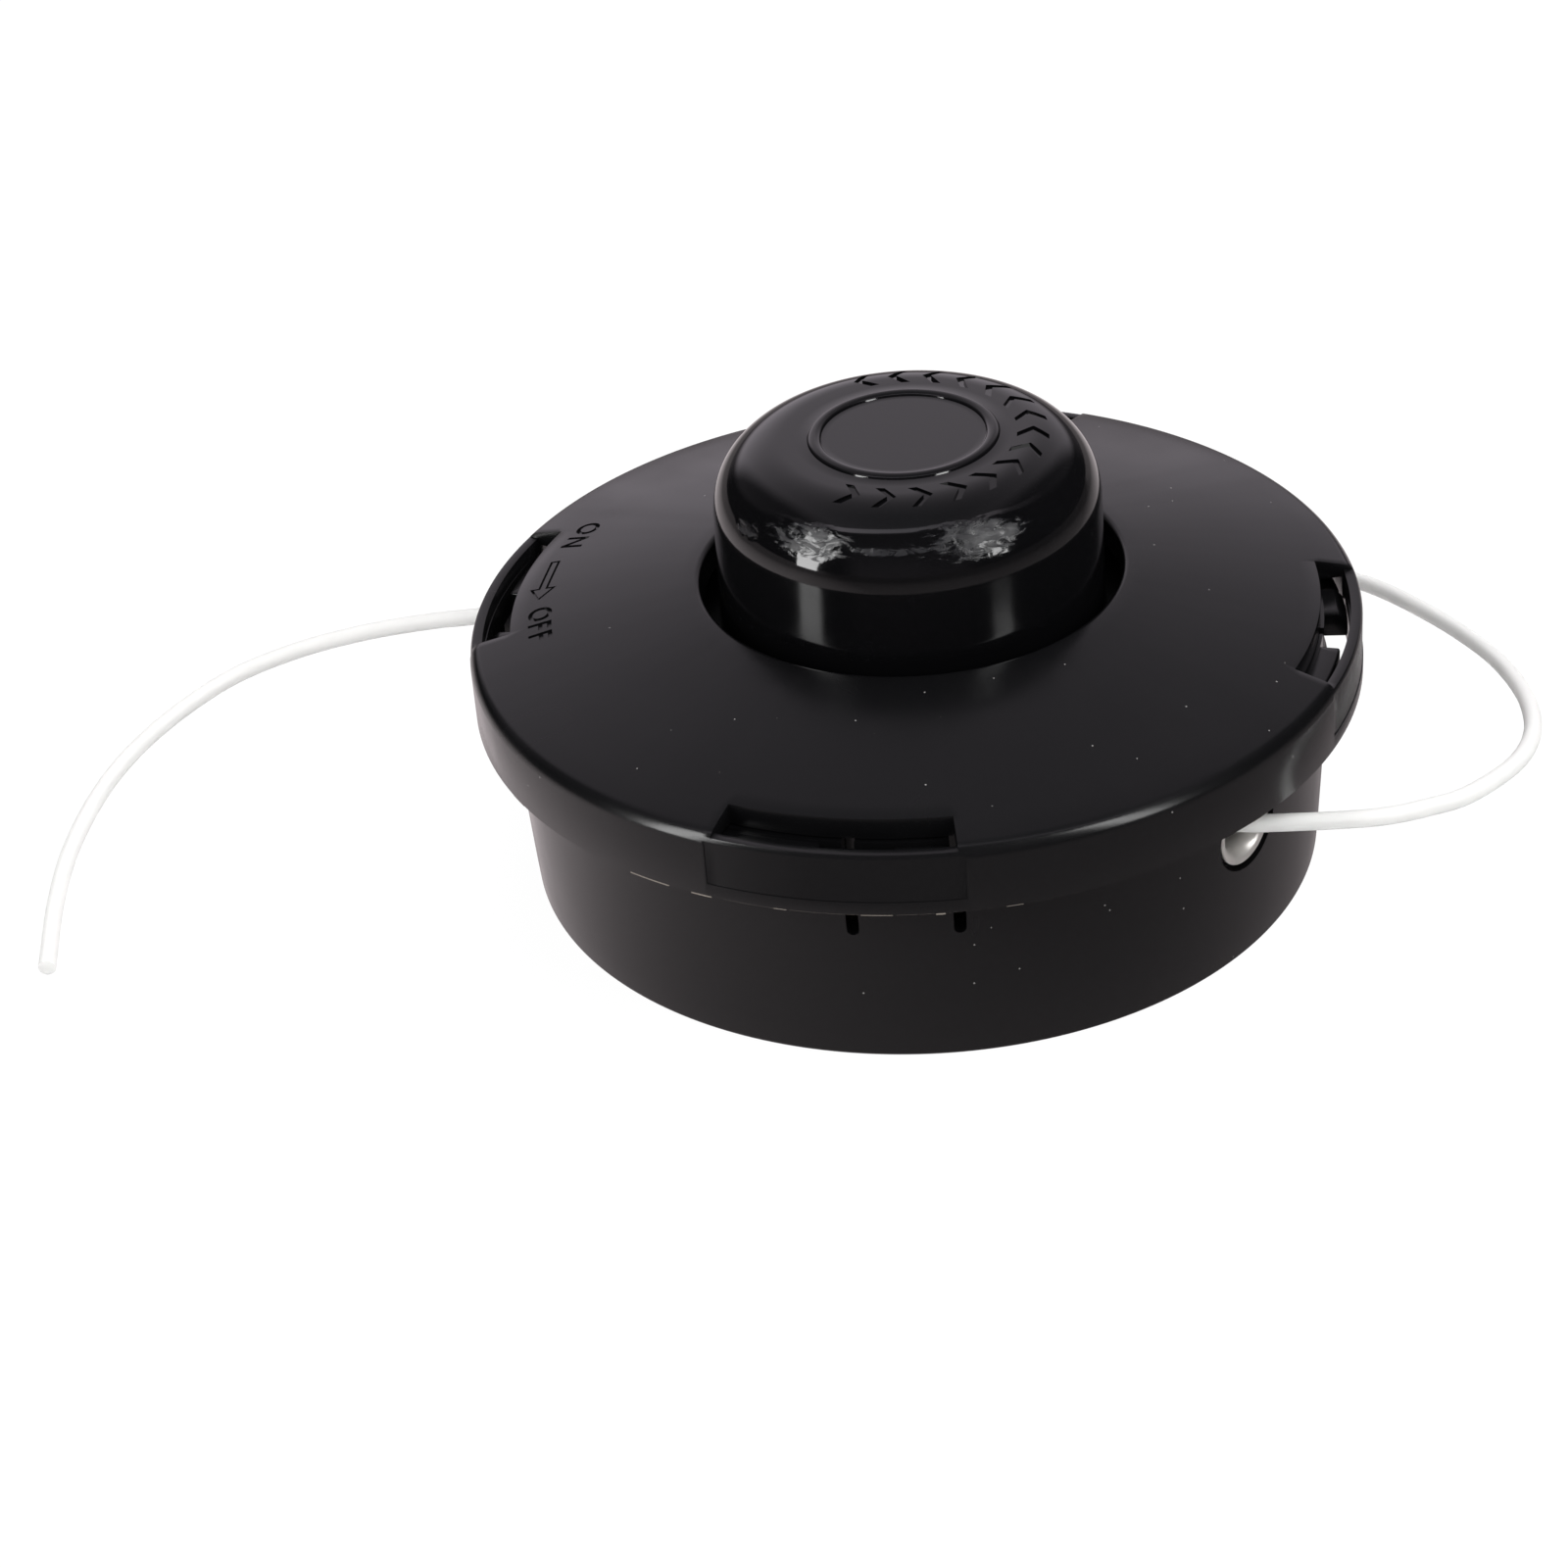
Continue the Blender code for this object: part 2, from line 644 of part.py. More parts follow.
def make_cover(finish):
    cover = piece("cover", turned(cover_profile()), finish)
    combine(cover, "DIFFERENCE", "cover_windows", [window_cut(window) for window in QUARTERS])
    combine(cover, "DIFFERENCE", "cover_steps", [skirt_step(window) for window in QUARTERS])
    lugs = [cover_lug(window) for window in QUARTERS]
    stops = [cover_stop(quarter + STOP_ANGLE) for quarter in QUARTERS]
    combine(cover, "UNION", "cover_additions", lugs + stops)
    return cover


def spool_profile():
    bore = POST_RADIUS + GAP
    sleeve = bore + SLEEVE_WALL
    sleeve_top = post_top - SLEEVE_BELOW_POST
    web_top = cavity_top + HUB_WEB
    neck_inner = neck_radius - NECK_WALL
    return [
        (cavity_radius, flange_bottom),
        (spool_radius, flange_bottom),
        (spool_radius, channel_bottom),
        (hub_radius, channel_bottom),
        (hub_radius, channel_top),
        (spool_radius, channel_top),
        (spool_radius, flange_top),
        (neck_radius, flange_top),
        (neck_radius, neck_top - NECK_CHAMFER),
        (neck_radius - NECK_CHAMFER, neck_top),
        (neck_inner, neck_top),
        (neck_inner, flange_top),
        (min(neck_inner, hub_radius), flange_top),
        (cavity_radius, channel_top - UPPER_FLANGE),
        (cavity_radius, web_top),
        (sleeve, web_top),
        (sleeve, sleeve_top),
        (bore, sleeve_top),
        (bore, cavity_top),
        (cavity_radius, cavity_top),
    ]


def teeth(z_from, z_to, turn):
    half = TOOTH_DEGREES / 2
    pitch = 360 / TEETH
    profile = block(tooth_inner_radius, tooth_outer_radius, z_from, z_to)
    return [
        sector(profile, pitch * i + turn - half, pitch * i + turn + half, 1)
        for i in range(TEETH)
    ]


def snap_window(angle):
    """An opening in the neck for one snap nib of the knob."""
    half = SNAP_DEGREES / 2 + SNAP_CLEARANCE_DEGREES
    low = knob_bottom + SNAP_ABOVE_EDGE - GAP
    profile = block(
        neck_radius - NECK_WALL - OVERRUN, neck_radius + OVERRUN, low, low + SNAP_HEIGHT + 2 * GAP
    )
    return sector(profile, angle - half, angle + half, 4)


def keeper_notch(angle):
    half = KEEPER_WIDTH / 2
    reach = UPPER_FLANGE / 2 + OVERRUN
    outline = [(-reach, -half), (reach, -half), (reach, half), (-reach, half)]
    notch = prism(outline, KEEPER_DEPTH + OVERRUN)
    middle = channel_top + UPPER_FLANGE / 2
    return moved(notch, radial(angle, spool_radius - KEEPER_DEPTH, middle))


def make_spool(finish):
    spool = piece("spool", turned(spool_profile(), INNER_STEPS), finish)
    upper_turn = STOP_ANGLE - TOOTH_DEGREES - TOOTH_CLEARANCE_DEGREES
    lower_teeth = teeth(flange_bottom - TOOTH_HEIGHT, flange_bottom + ROOT, 0)
    upper_teeth = teeth(flange_top - ROOT, flange_top + TOOTH_HEIGHT, upper_turn)
    combine(spool, "UNION", "spool_teeth", lower_teeth + upper_teeth)
    notches = [keeper_notch(angle) for angle in KEEPER_ANGLES]
    openings = [snap_window(quarter + SNAP_ANGLE) for quarter in QUARTERS]
    combine(spool, "DIFFERENCE", "spool_cuts", notches + openings)
    return spool


def knob_profile():
    """Section of the knob: skirt, side, round shoulder, flat top with its ring, and inside."""
    side_top = knob_top - KNOB_SHOULDER
    shoulder = arc(KNOB_RADIUS - KNOB_SHOULDER, side_top, KNOB_SHOULDER, 0, 90, 8)
    ring_outer = RING_RADIUS + RING_WIDTH / 2
    ring = [
        (ring_outer, knob_top),
        (RING_RADIUS + RING_WIDTH / 4, knob_top + RING_HEIGHT),
        (RING_RADIUS - RING_WIDTH / 4, knob_top + RING_HEIGHT),
        (RING_RADIUS - RING_WIDTH / 2, knob_top),
    ]
    inside = neck_radius + GAP
    seat = inside - KNOB_SEAT
    hollow_round = KNOB_SHOULDER - KNOB_WALL
    hollow = arc(seat - hollow_round, knob_top - KNOB_SHOULDER, hollow_round, 90, 0, 3)
    return (
        [(0, knob_top - KNOB_WALL)]
        + hollow
        + [
            (seat, neck_top + GAP),
            (inside, neck_top + GAP),
            (inside, knob_bottom),
            (KNOB_RADIUS + KNOB_FLARE, knob_bottom),
        ]
        + shoulder
        + ring
        + [(0, knob_top)]
    )


def snap_nib(angle):
    half = SNAP_DEGREES / 2
    low = knob_bottom + SNAP_ABOVE_EDGE
    outer = neck_radius + GAP + ROOT
    inner = neck_radius - SNAP_DEPTH
    profile = [
        (inner, low + SNAP_HEIGHT),
        (inner, low + SNAP_HEIGHT / 2),
        (outer - ROOT, low),
        (outer, low),
        (outer, low + SNAP_HEIGHT),
    ]
    return sector(profile, angle - half, angle + half, 4)


def make_knob(finish):
    knob = piece("bump_knob", turned(knob_profile(), INNER_STEPS), finish)
    nibs = [snap_nib(quarter + SNAP_ANGLE) for quarter in QUARTERS]
    combine(knob, "UNION", "knob_nibs", nibs)
    return knob


def make_wound_line(finish):
    """The line still on the spool, as one roll whose outside shows its rows."""
    inner = hub_radius + GAP
    outer = inner + LINE_LAYERS * LINE_DIAMETER
    half = LINE_DIAMETER / 2
    low = channel_bottom + GAP
    rows = [
        point
        for row in range(LINE_ROWS)
        for point in arc(outer - half, low + half + row * LINE_DIAMETER, half, -70, 70, 2)
    ]
    high = low + LINE_ROWS * LINE_DIAMETER
    profile = [(inner, low), (outer - half, low)] + rows + [(outer - half, high), (inner, high)]
    return piece("wound_line", turned(profile, INNER_STEPS), finish, smooth_below=60)


def make_washer(finish):
    inner = POST_FOOT_RADIUS + WASHER_CLEARANCE
    outer = cavity_radius - WASHER_CLEARANCE
    profile = block(inner, outer, FLOOR + GAP, washer_top)
    return piece("thrust_washer", turned(profile, INNER_STEPS), finish)


def tube(name, points, diameter, finish, resolution=2):
    """A round bar along a list of points."""
    curve = bpy.data.curves.new(name, "CURVE")
    curve.dimensions = "3D"
    curve.bevel_depth = diameter / 2
    curve.bevel_resolution = resolution
    curve.use_fill_caps = True
    curve.materials.append(finish)
    spline = curve.splines.new("POLY")
    spline.points.add(len(points) - 1)
    for place, point in zip(spline.points, points):
        place.co = (*point, 1)
    made = bpy.data.objects.new(name, curve)
    bpy.context.collection.objects.link(made)
    return made


def make_spring(finish):
    """A compression spring with one closed coil at each end, between washer and hub."""
    low = washer_top + GAP + SPRING_WIRE / 2
    high = cavity_top - GAP - SPRING_WIRE / 2
    closed_rise = SPRING_WIRE + GAP
    open_rise = (high - low - 2 * closed_rise) / SPRING_COILS
    turns = SPRING_COILS + 2
    count = round(turns * SPRING_STEPS)
    points = []
    for i in range(count + 1):
        turn = turns * i / count
        into_open = min(max(turn - 1, 0), SPRING_COILS)
        height = low + closed_rise * (turn - into_open) + open_rise * into_open
        angle = math.tau * turn
        points.append((spring_radius * math.cos(angle), spring_radius * math.sin(angle), height))
    return tube("return_spring", points, SPRING_WIRE, finish, resolution=1)


def through(route, spacing):
    """Evenly spaced points on a smooth curve through the points of a route."""
    ends = [2 * route[0] - route[1]], [2 * route[-1] - route[-2]]
    knots = ends[0] + route + ends[1]
    fine = []
    for a, b, c, d in zip(knots, knots[1:], knots[2:], knots[3:]):
        for i in range(CURVE_STEPS):
            t = i / CURVE_STEPS
            squared = (2 * a - 5 * b + 4 * c - d) * t**2
            cubed = (3 * b - a - 3 * c + d) * t**3
            fine.append(b + ((c - a) * t + squared + cubed) / 2)
    fine.append(route[-1])
    length = sum((q - p).length for p, q in zip(fine, fine[1:]))
    step = length / round(length / spacing)
    points, walked = [fine[0]], 0
    for p, q in zip(fine, fine[1:]):
        walked += (q - p).length
        if walked >= step * len(points) and len(points) < round(length / step):
            points.append(q)
    return points + [fine[-1]]


def make_line_end(name, route, finish):
    knots = [Vector(point) * MM for point in route]
    points = through(knots, LINE_POINT_SPACING * LINE_DIAMETER)
    return tube(name, points, LINE_DIAMETER, finish)


def main():
    clear_scene()
    black = plastic_or_metal("black_nylon", (0.012, 0.012, 0.013), 0.38)
    gloss = plastic_or_metal("black_knob", (0.006, 0.006, 0.006), 0.22)
    spool_black = plastic_or_metal("spool_plastic", (0.02, 0.02, 0.02), 0.45)
    steel = plastic_or_metal("plated_steel", (0.72, 0.72, 0.71), 0.28, 1.0)
    spring_steel = plastic_or_metal("spring_steel", (0.5, 0.5, 0.5), 0.35, 1.0)
    clear_nylon = plastic_or_metal("line_nylon", (0.86, 0.87, 0.87), 0.35)

    make_housing(black)
    make_arbor_insert(steel)
    for name, angle in zip(("eyelet_a", "eyelet_b"), EYELET_ANGLES):
        make_eyelet(name, angle, steel)
    make_cover(black)
    make_washer(steel)
    make_spring(spring_steel)
    make_spool(spool_black)
    make_knob(gloss)
    make_wound_line(clear_nylon)
    make_line_end("line_end_a", LINE_A_ROUTE, clear_nylon)
    make_line_end("line_end_b", LINE_B_ROUTE, clear_nylon)


main()
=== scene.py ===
# %% [markdown]
# # A bump-feed line head, dressed
#
# The real object is the spool head of a grass trimmer: a black nylon cup and cover, a sprung
# spool with a bump knob on top, two steel eyelets and two free ends of milky nylon line. The
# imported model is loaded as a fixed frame, in metres, and this script gives it smooth shapes and
# finishes. Every size below is in millimetres, as on a workshop drawing, and is turned to
# metres where it meets Blender.

# %% Load the frame
import math

import bpy
from mathutils import Matrix, Vector


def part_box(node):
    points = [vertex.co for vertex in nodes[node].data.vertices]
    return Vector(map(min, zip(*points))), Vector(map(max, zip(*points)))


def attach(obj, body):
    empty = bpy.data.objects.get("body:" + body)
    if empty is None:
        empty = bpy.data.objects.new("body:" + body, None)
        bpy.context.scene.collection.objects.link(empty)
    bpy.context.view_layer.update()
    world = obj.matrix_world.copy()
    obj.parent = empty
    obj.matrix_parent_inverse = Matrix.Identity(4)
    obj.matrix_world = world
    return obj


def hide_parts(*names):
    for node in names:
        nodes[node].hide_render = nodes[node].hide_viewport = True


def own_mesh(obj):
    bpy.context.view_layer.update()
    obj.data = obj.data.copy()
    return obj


MM = 0.001
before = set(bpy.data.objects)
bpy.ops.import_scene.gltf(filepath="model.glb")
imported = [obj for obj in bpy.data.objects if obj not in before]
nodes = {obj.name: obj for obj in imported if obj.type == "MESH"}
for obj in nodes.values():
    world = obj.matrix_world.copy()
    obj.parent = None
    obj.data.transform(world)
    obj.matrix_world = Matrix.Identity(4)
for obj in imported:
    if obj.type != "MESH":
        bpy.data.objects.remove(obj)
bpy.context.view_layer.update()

# %% [markdown]
# The camera comes first, so that each later step can be judged against the photograph. A camera
# can be placed by hand, or by an aim and a turn. The photograph's own camera was worked out from
# the ellipses of the cover and the knob, so here it gets a place, a point that it looks at and a
# small roll about its own axis.

# %% Camera
CAMERA_PLACE = (90.952, -447.045, 299.085)
CAMERA_AIM = (-18.70, -4.64, 8.48)
CAMERA_ROLL = -4.613
CAMERA_LENS, CAMERA_SENSOR = 89.78, 36


def looking(place, aim, roll=0.0):
    """The matrix of a camera or lamp at a place that points at an aim, all in millimetres."""
    place, aim = Vector(place) * MM, Vector(aim) * MM
    turn = (aim - place).to_track_quat("-Z", "Y").to_matrix().to_4x4()
    return Matrix.Translation(place) @ turn @ Matrix.Rotation(math.radians(roll), 4, "Z")


bpy.ops.object.camera_add()
camera = bpy.context.object
camera.name = "photo_camera"
camera.matrix_world = looking(CAMERA_PLACE, CAMERA_AIM, CAMERA_ROLL)
camera.data.lens = CAMERA_LENS
camera.data.sensor_width = CAMERA_SENSOR
bpy.context.scene.camera = camera
print("camera distance, mm:", round((Vector(CAMERA_PLACE) - Vector(CAMERA_AIM)).length))

# %% [markdown]
# The two free ends of the line are cords. A cord could be a live curve with a round bevel or a
# swept mesh. It is drawn as a curve here and then turned to a mesh. The route's points are the
# ones in the part's source, joined by a smooth curve. The free cord starts inside the head, about
# 19 mm behind its eyelet's mouth. The short lead from the roll of line to there is a piece of its
# own.

# %% Routes of the line
LINE_DIAMETER = 2.4
LINE_A_ROUTE = [
    (3.1, -30.5, 20.2), (17.1, -29.1, 20.2), (31.1, -27.7, 20.2), (45.1, -26.2, 20.2),
    (50.2, -25.4, 20.0), (63.0, -21.4, 19.0), (70.1, -16.6, 18.0), (75.0, -11.8, 17.2),
    (80.3, -2.3, 16.0), (82.3, 7.4, 14.8), (81.3, 18.1, 13.4), (77.8, 29.0, 12.0),
    (72.7, 38.7, 10.6), (65.1, 49.7, 8.8), (55.8, 60.6, 6.6), (43.6, 69.6, 3.9),
    (30.5, 75.0, 1.5),
]
LINE_B_ROUTE = [
    (-3.1, 30.5, 20.2), (-17.1, 29.1, 20.2), (-31.1, 27.7, 20.2), (-45.1, 26.2, 20.2),
    (-50.6, 25.2, 20.0), (-60.0, 22.9, 18.9), (-69.0, 21.5, 17.6), (-75.9, 21.2, 16.6),
    (-85.9, 19.4, 15.2), (-95.6, 15.9, 13.6), (-104.4, 9.8, 11.8), (-111.6, -0.8, 9.6),
    (-115.5, -11.6, 7.4), (-116.5, -24.0, 5.2), (-115.2, -35.5, 3.2), (-112.0, -48.4, 1.4),
]
LEAD_POINTS = 3  # how many of a route's first points the lead runs through
ROUTE_STEPS = 8  # short straight steps between two points of a route


def smooth_route(route, steps=ROUTE_STEPS):
    """Points along a smooth curve through a route, in millimetres."""
    knots = [Vector(point) for point in route]
    knots = [2 * knots[0] - knots[1]] + knots + [2 * knots[-1] - knots[-2]]
    points = []
    for a, b, c, d in zip(knots, knots[1:], knots[2:], knots[3:]):
        for i in range(steps):
            t = i / steps
            squared = (2 * a - 5 * b + 4 * c - d) * t**2
            cubed = (3 * b - a - 3 * c + d) * t**3
            points.append(b + ((c - a) * t + squared + cubed) / 2)
    return points + [knots[-2]]


def round_bar(name, points, diameter):
    """A bar with a round section along points in millimetres, as a mesh."""
    curve = bpy.data.curves.new(name, "CURVE")
    curve.dimensions = "3D"
    curve.bevel_depth = diameter / 2 * MM
    curve.bevel_resolution = 6
    curve.use_fill_caps = True
    spline = curve.splines.new("POLY")
    spline.points.add(len(points) - 1)
    for knot, point in zip(spline.points, points):
        knot.co = (*(Vector(point) * MM), 1)
    bar = bpy.data.objects.new(name, curve)
    bpy.context.collection.objects.link(bar)
    bpy.ops.object.select_all(action="DESELECT")
    bar.select_set(True)
    bpy.context.view_layer.objects.active = bar
    bpy.ops.object.convert(target="MESH")
    bpy.ops.object.shade_smooth_by_angle(angle=math.radians(50))
    return bpy.context.object


# %% Cords
line_pieces = []
for end, route in (("a", LINE_A_ROUTE), ("b", LINE_B_ROUTE)):
    points = smooth_route(route)
    cut = ROUTE_STEPS * (LEAD_POINTS - 1)
    free, lead = points[cut:], points[: cut + 1]
    cord = round_bar(f"free_line_{end}", free, LINE_DIAMETER)
    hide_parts(f"line_end_{end}")
    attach(cord, "housing")
    inner = round_bar(f"line_lead_{end}", lead, LINE_DIAMETER)
    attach(inner, "housing")
    line_pieces += [cord, inner]

# %% [markdown]
# Most pieces of the head are round, and were moulded or turned about one axis. Such a piece is
# drawn as half a section and spun, as a turner would cut it. The section is drawn here point by
# point: a small plane is merged to one point, which is moved to the start of the section and
# extruded from corner to corner. Spinning it is quicker and truer than shaping a cylinder.

# %% Drawing and spinning a section


def deselect():
    if bpy.context.object and bpy.context.object.mode != "OBJECT":
        bpy.ops.object.mode_set(mode="OBJECT")
    bpy.ops.object.select_all(action="DESELECT")


def only(piece):
    """Selects one piece and makes it the active one."""
    deselect()
    piece.select_set(True)
    bpy.context.view_layer.objects.active = piece


def draw(name, corners, closed=True):
    """A wire through corners (x, y, z) in millimetres, left in edit mode, all selected."""
    deselect()
    bpy.ops.mesh.primitive_plane_add(size=MM)
    bpy.context.object.name = name
    bpy.context.object.data.name = name
    bpy.ops.object.mode_set(mode="EDIT")
    bpy.ops.mesh.merge(type="CENTER")
    bpy.ops.transform.translate(value=Vector(corners[0]) * MM)
    ring = list(corners) + [corners[0]] * closed
    for start, end in zip(ring, ring[1:]):
        step = (Vector(end) - Vector(start)) * MM
        bpy.ops.mesh.extrude_vertices_move(TRANSFORM_OT_translate={"value": step})
    bpy.ops.mesh.select_all(action="SELECT")
    if closed:
        bpy.ops.mesh.remove_doubles(threshold=0.0005 * MM)
    return bpy.context.object


def tidy_shell():
    """Merges doubles and turns all faces outwards, then leaves edit mode."""
    bpy.ops.mesh.select_all(action="SELECT")
    bpy.ops.mesh.remove_doubles(threshold=0.001 * MM)
    bpy.ops.mesh.normals_make_consistent(inside=False)
    bpy.ops.object.mode_set(mode="OBJECT")


def spun(name, section, steps):
    """A full turn of a section of (r, z) corners. A section may start and end on the axis."""
    closed = section[0][0] > 0 or section[-1][0] > 0
    piece = draw(name, [(r, 0, z) for r, z in section], closed)
    bpy.ops.mesh.spin(steps=steps, angle=-math.tau, center=(0, 0, 0), axis=(0, 0, 1))
    tidy_shell()
    return piece


def wedge(name, section, start, end, steps):
    """Part of a turn of a closed section, between two angles in degrees, as a solid."""
    piece = draw(name, [(r, 0, z) for r, z in section])
    bpy.ops.mesh.edge_face_add()
    bpy.ops.mesh.spin(
        steps=steps, angle=-math.radians(end - start), center=(0, 0, 0), axis=(0, 0, 1)
    )
    tidy_shell()
    piece.data.transform(Matrix.Rotation(math.radians(start), 4, "Z"))
    return piece


def arc(centre_r, centre_z, radius, start, end, steps):
    """Section corners along an arc, from start to end in degrees anticlockwise from +r."""
    turns = [math.radians(start + (end - start) * i / steps) for i in range(steps + 1)]
    return [(centre_r + radius * math.cos(t), centre_z + radius * math.sin(t)) for t in turns]


def block(r_from, r_to, z_from, z_to):
    """The section of a plain bar."""
    return [(r_from, z_from), (r_to, z_from), (r_to, z_to), (r_from, z_to)]


def prism(name, outline, low, high):
    """A solid with an outline of (x, y) corners, between two heights."""
    piece = draw(name, [(x, y, low) for x, y in outline])
    bpy.ops.mesh.edge_face_add()
    bpy.ops.mesh.extrude_region_move(
        TRANSFORM_OT_translate={"value": (0, 0, (high - low) * MM)}
    )
    tidy_shell()
    return piece


def hexagon(across_flats):
    """The corners of a hexagon with a width between its flats."""
    corner = across_flats / 2 / math.cos(math.radians(30))
    turns = [math.tau * i / 6 for i in range(6)]
    return [(corner * math.cos(t), corner * math.sin(t)) for t in turns]


# %% [markdown]
# Windows, slots and lugs break the round shape. They are cut from it or added to it with a
# Boolean, because both solids are already drawn at their true place. All the cutters of one
# step are joined first, so that one Boolean does them all.

# %% Booleans and other finishing steps


def joined(pieces, name):
    deselect()
    for piece in pieces:
        piece.select_set(True)
    bpy.context.view_layer.objects.active = pieces[0]
    if len(pieces) > 1:
        bpy.ops.object.join()
    pieces[0].name = name
    return pieces[0]


def apply_modifier(piece, kind, **settings):
    """Adds a modifier to a piece, sets it, and applies it at once."""
    only(piece)
    modifier = piece.modifiers.new(kind.lower(), kind)
    for key, value in settings.items():
        setattr(modifier, key, value)
    bpy.ops.object.modifier_apply(modifier=modifier.name)


def combine(piece, operation, tools):
    """Cuts tools from a piece, or adds them to it, and deletes them."""
    tool = joined(tools, "tool")
    apply_modifier(piece, "BOOLEAN", object=tool, operation=operation, solver="EXACT")
    bpy.data.objects.remove(tool)


def soften(piece, width, steps=2, sharper_than=38):
    """Rounds every edge that is sharper than an angle, and shades the rest smooth."""
    apply_modifier(
        piece,
        "BEVEL",
        width=width * MM,
        segments=steps,
        limit_method="ANGLE",
        angle_limit=math.radians(sharper_than),
        use_clamp_overlap=True,
    )
    shade(piece)


def in_each_quarter(name, section, start, end, steps):
    """Four wedges, between two angles in degrees from the middle of each window."""
    return [wedge(name, section, middle + start, middle + end, steps) for middle in QUARTERS]


def shade(piece, degrees=34):
    """Smooth shading, with edges sharper than an angle left crisp."""
    only(piece)
    bpy.ops.object.shade_smooth_by_angle(angle=math.radians(degrees))


def turned_to(piece, matrix):
    """Bakes a place into the mesh, so that the object itself stays at the origin."""
    piece.data.transform(matrix)
    return piece


def report(piece):
    size = [round(c / MM, 1) for c in piece.dimensions]
    print(f"{piece.name}: {len(piece.data.polygons)} faces, {size} mm")


QUARTERS = (0, 90, 180, 270)
ROUND_STEPS = 244  # facets round the cover and the cup
OVERRUN = 1.0  # how far a cutter runs past what it cuts
ROOTED = 0.6  # how far an added form starts inside the wall that carries it

# %% [markdown]
# The cover is the widest piece: a shallow dish with a rounded edge and a skirt that hangs over
# the rim of the cup. Its section follows the frame's, with finer arcs. The ring under it centres
# it in the cup, and the collar hangs round the hole for the knob.

# %% Cover: the dish
COVER_RADIUS, COVER_WALL, EDGE_ROUND = 60.0, 1.8, 2.2
SKIRT_BOTTOM, SEAT_Z, EDGE_Z, HOLE_Z = 26.1, 33.6, 35.1, 41.6
HOLE_RADIUS, HOLE_ROUND, COLLAR_BOTTOM = 28.3, 0.7, 37.4
SKIRT_INNER, SPIGOT_OUTER, SPIGOT_INNER, SPIGOT_DEPTH = 58.2, 52.2, 50.5, 3.0
DOME_WIDTH = COVER_RADIUS - HOLE_RADIUS
DOME_SLOPE = (HOLE_Z - EDGE_Z) / DOME_WIDTH
CROWN = 0.35  # how far the dome bulges out of a straight cone, half way down


def dome_z(radius):
    """Height of the cover's upper face at a radius."""
    share = (radius - HOLE_RADIUS) / DOME_WIDTH
    return EDGE_Z + (COVER_RADIUS - radius) * DOME_SLOPE + 4 * CROWN * share * (1 - share)


edge_tilt = math.degrees(math.atan(DOME_SLOPE + 4 * CROWN / DOME_WIDTH))
hole_tilt = math.degrees(math.atan(DOME_SLOPE - 4 * CROWN / DOME_WIDTH))
edge_back = EDGE_ROUND * math.tan(math.radians((90 - edge_tilt) / 2))
hole_back = HOLE_ROUND * math.tan(math.radians((90 + hole_tilt) / 2))
edge = arc(COVER_RADIUS - EDGE_ROUND, EDGE_Z - edge_back, EDGE_ROUND, 90 - edge_tilt, 0, 10)
hole = arc(HOLE_RADIUS + HOLE_ROUND, HOLE_Z - hole_back, HOLE_ROUND, 180, 90 - hole_tilt, 8)
dome = [(r, dome_z(r)) for r in range(31, 56, 3)]
dish = (
    [(HOLE_RADIUS, COLLAR_BOTTOM)]
    + hole
    + dome
    + edge
    + [
        (COVER_RADIUS, SKIRT_BOTTOM),
        (SKIRT_INNER, SKIRT_BOTTOM),
        (SKIRT_INNER, SEAT_Z),
        (SPIGOT_OUTER, SEAT_Z),
        (SPIGOT_OUTER, SEAT_Z - SPIGOT_DEPTH),
        (SPIGOT_INNER, SEAT_Z - SPIGOT_DEPTH),
        (SPIGOT_INNER, dome_z(SPIGOT_INNER) - COVER_WALL),
        (HOLE_RADIUS + COVER_WALL, dome_z(HOLE_RADIUS + COVER_WALL) - COVER_WALL),
        (HOLE_RADIUS + COVER_WALL, COLLAR_BOTTOM),
    ]
)
cover = spun("moulded_cover", dish, ROUND_STEPS)
report(cover)

# %% [markdown]
# Four windows let the bayonet lugs of the cup show, and their tongues be pressed. Each window is
# one wedge cut down through the dish. Outside it stands a low wall, and the skirt is a shade
# thinner there, which gives the upright line beside each window. Inside the skirt are the lugs
# that hook under those of the cup, and under the dome are four stops for the spool's teeth.

# %% Cover: windows, steps, lugs and stops
WINDOW_HALF, WINDOW_INNER, WALL_TOP = 15.1, 54.3, 34.65
WINDOW_LIP = 0.1  # how far a window cuts into the skirt
STEP_HALF, STEP_RADIUS, STEP_LIFT = 15.9, 59.86, 1.8
LUG_BOTTOM, LUG_GAP, LUG_LIFT, COVER_LUG_INNER = 29.0, 0.4, 0.05, 55.2
COVER_LUG = (-14.4, -1.2)  # from and to, in degrees from a window's middle
STOP = (42.5, 47.5)
TOOTH_RING = (37.3, 41.8)
FLANGE_TOP, TOOTH_GAP = 30.4, 0.3
COVER_EDGE = 0.22

window = [
    (WINDOW_INNER, SEAT_Z - OVERRUN),
    (SKIRT_INNER + WINDOW_LIP, SEAT_Z - OVERRUN),
    (SKIRT_INNER + WINDOW_LIP, WALL_TOP),
    (COVER_RADIUS + OVERRUN, WALL_TOP),
    (COVER_RADIUS + OVERRUN, HOLE_Z),
    (WINDOW_INNER, HOLE_Z),
]
windows = in_each_quarter("window", window, -WINDOW_HALF, WINDOW_HALF, 21)
combine(cover, "DIFFERENCE", windows)

step_section = block(STEP_RADIUS, COVER_RADIUS + OVERRUN, SKIRT_BOTTOM + STEP_LIFT, HOLE_Z)
steps = in_each_quarter("step", step_section, -STEP_HALF, STEP_HALF, 22)
combine(cover, "DIFFERENCE", steps)

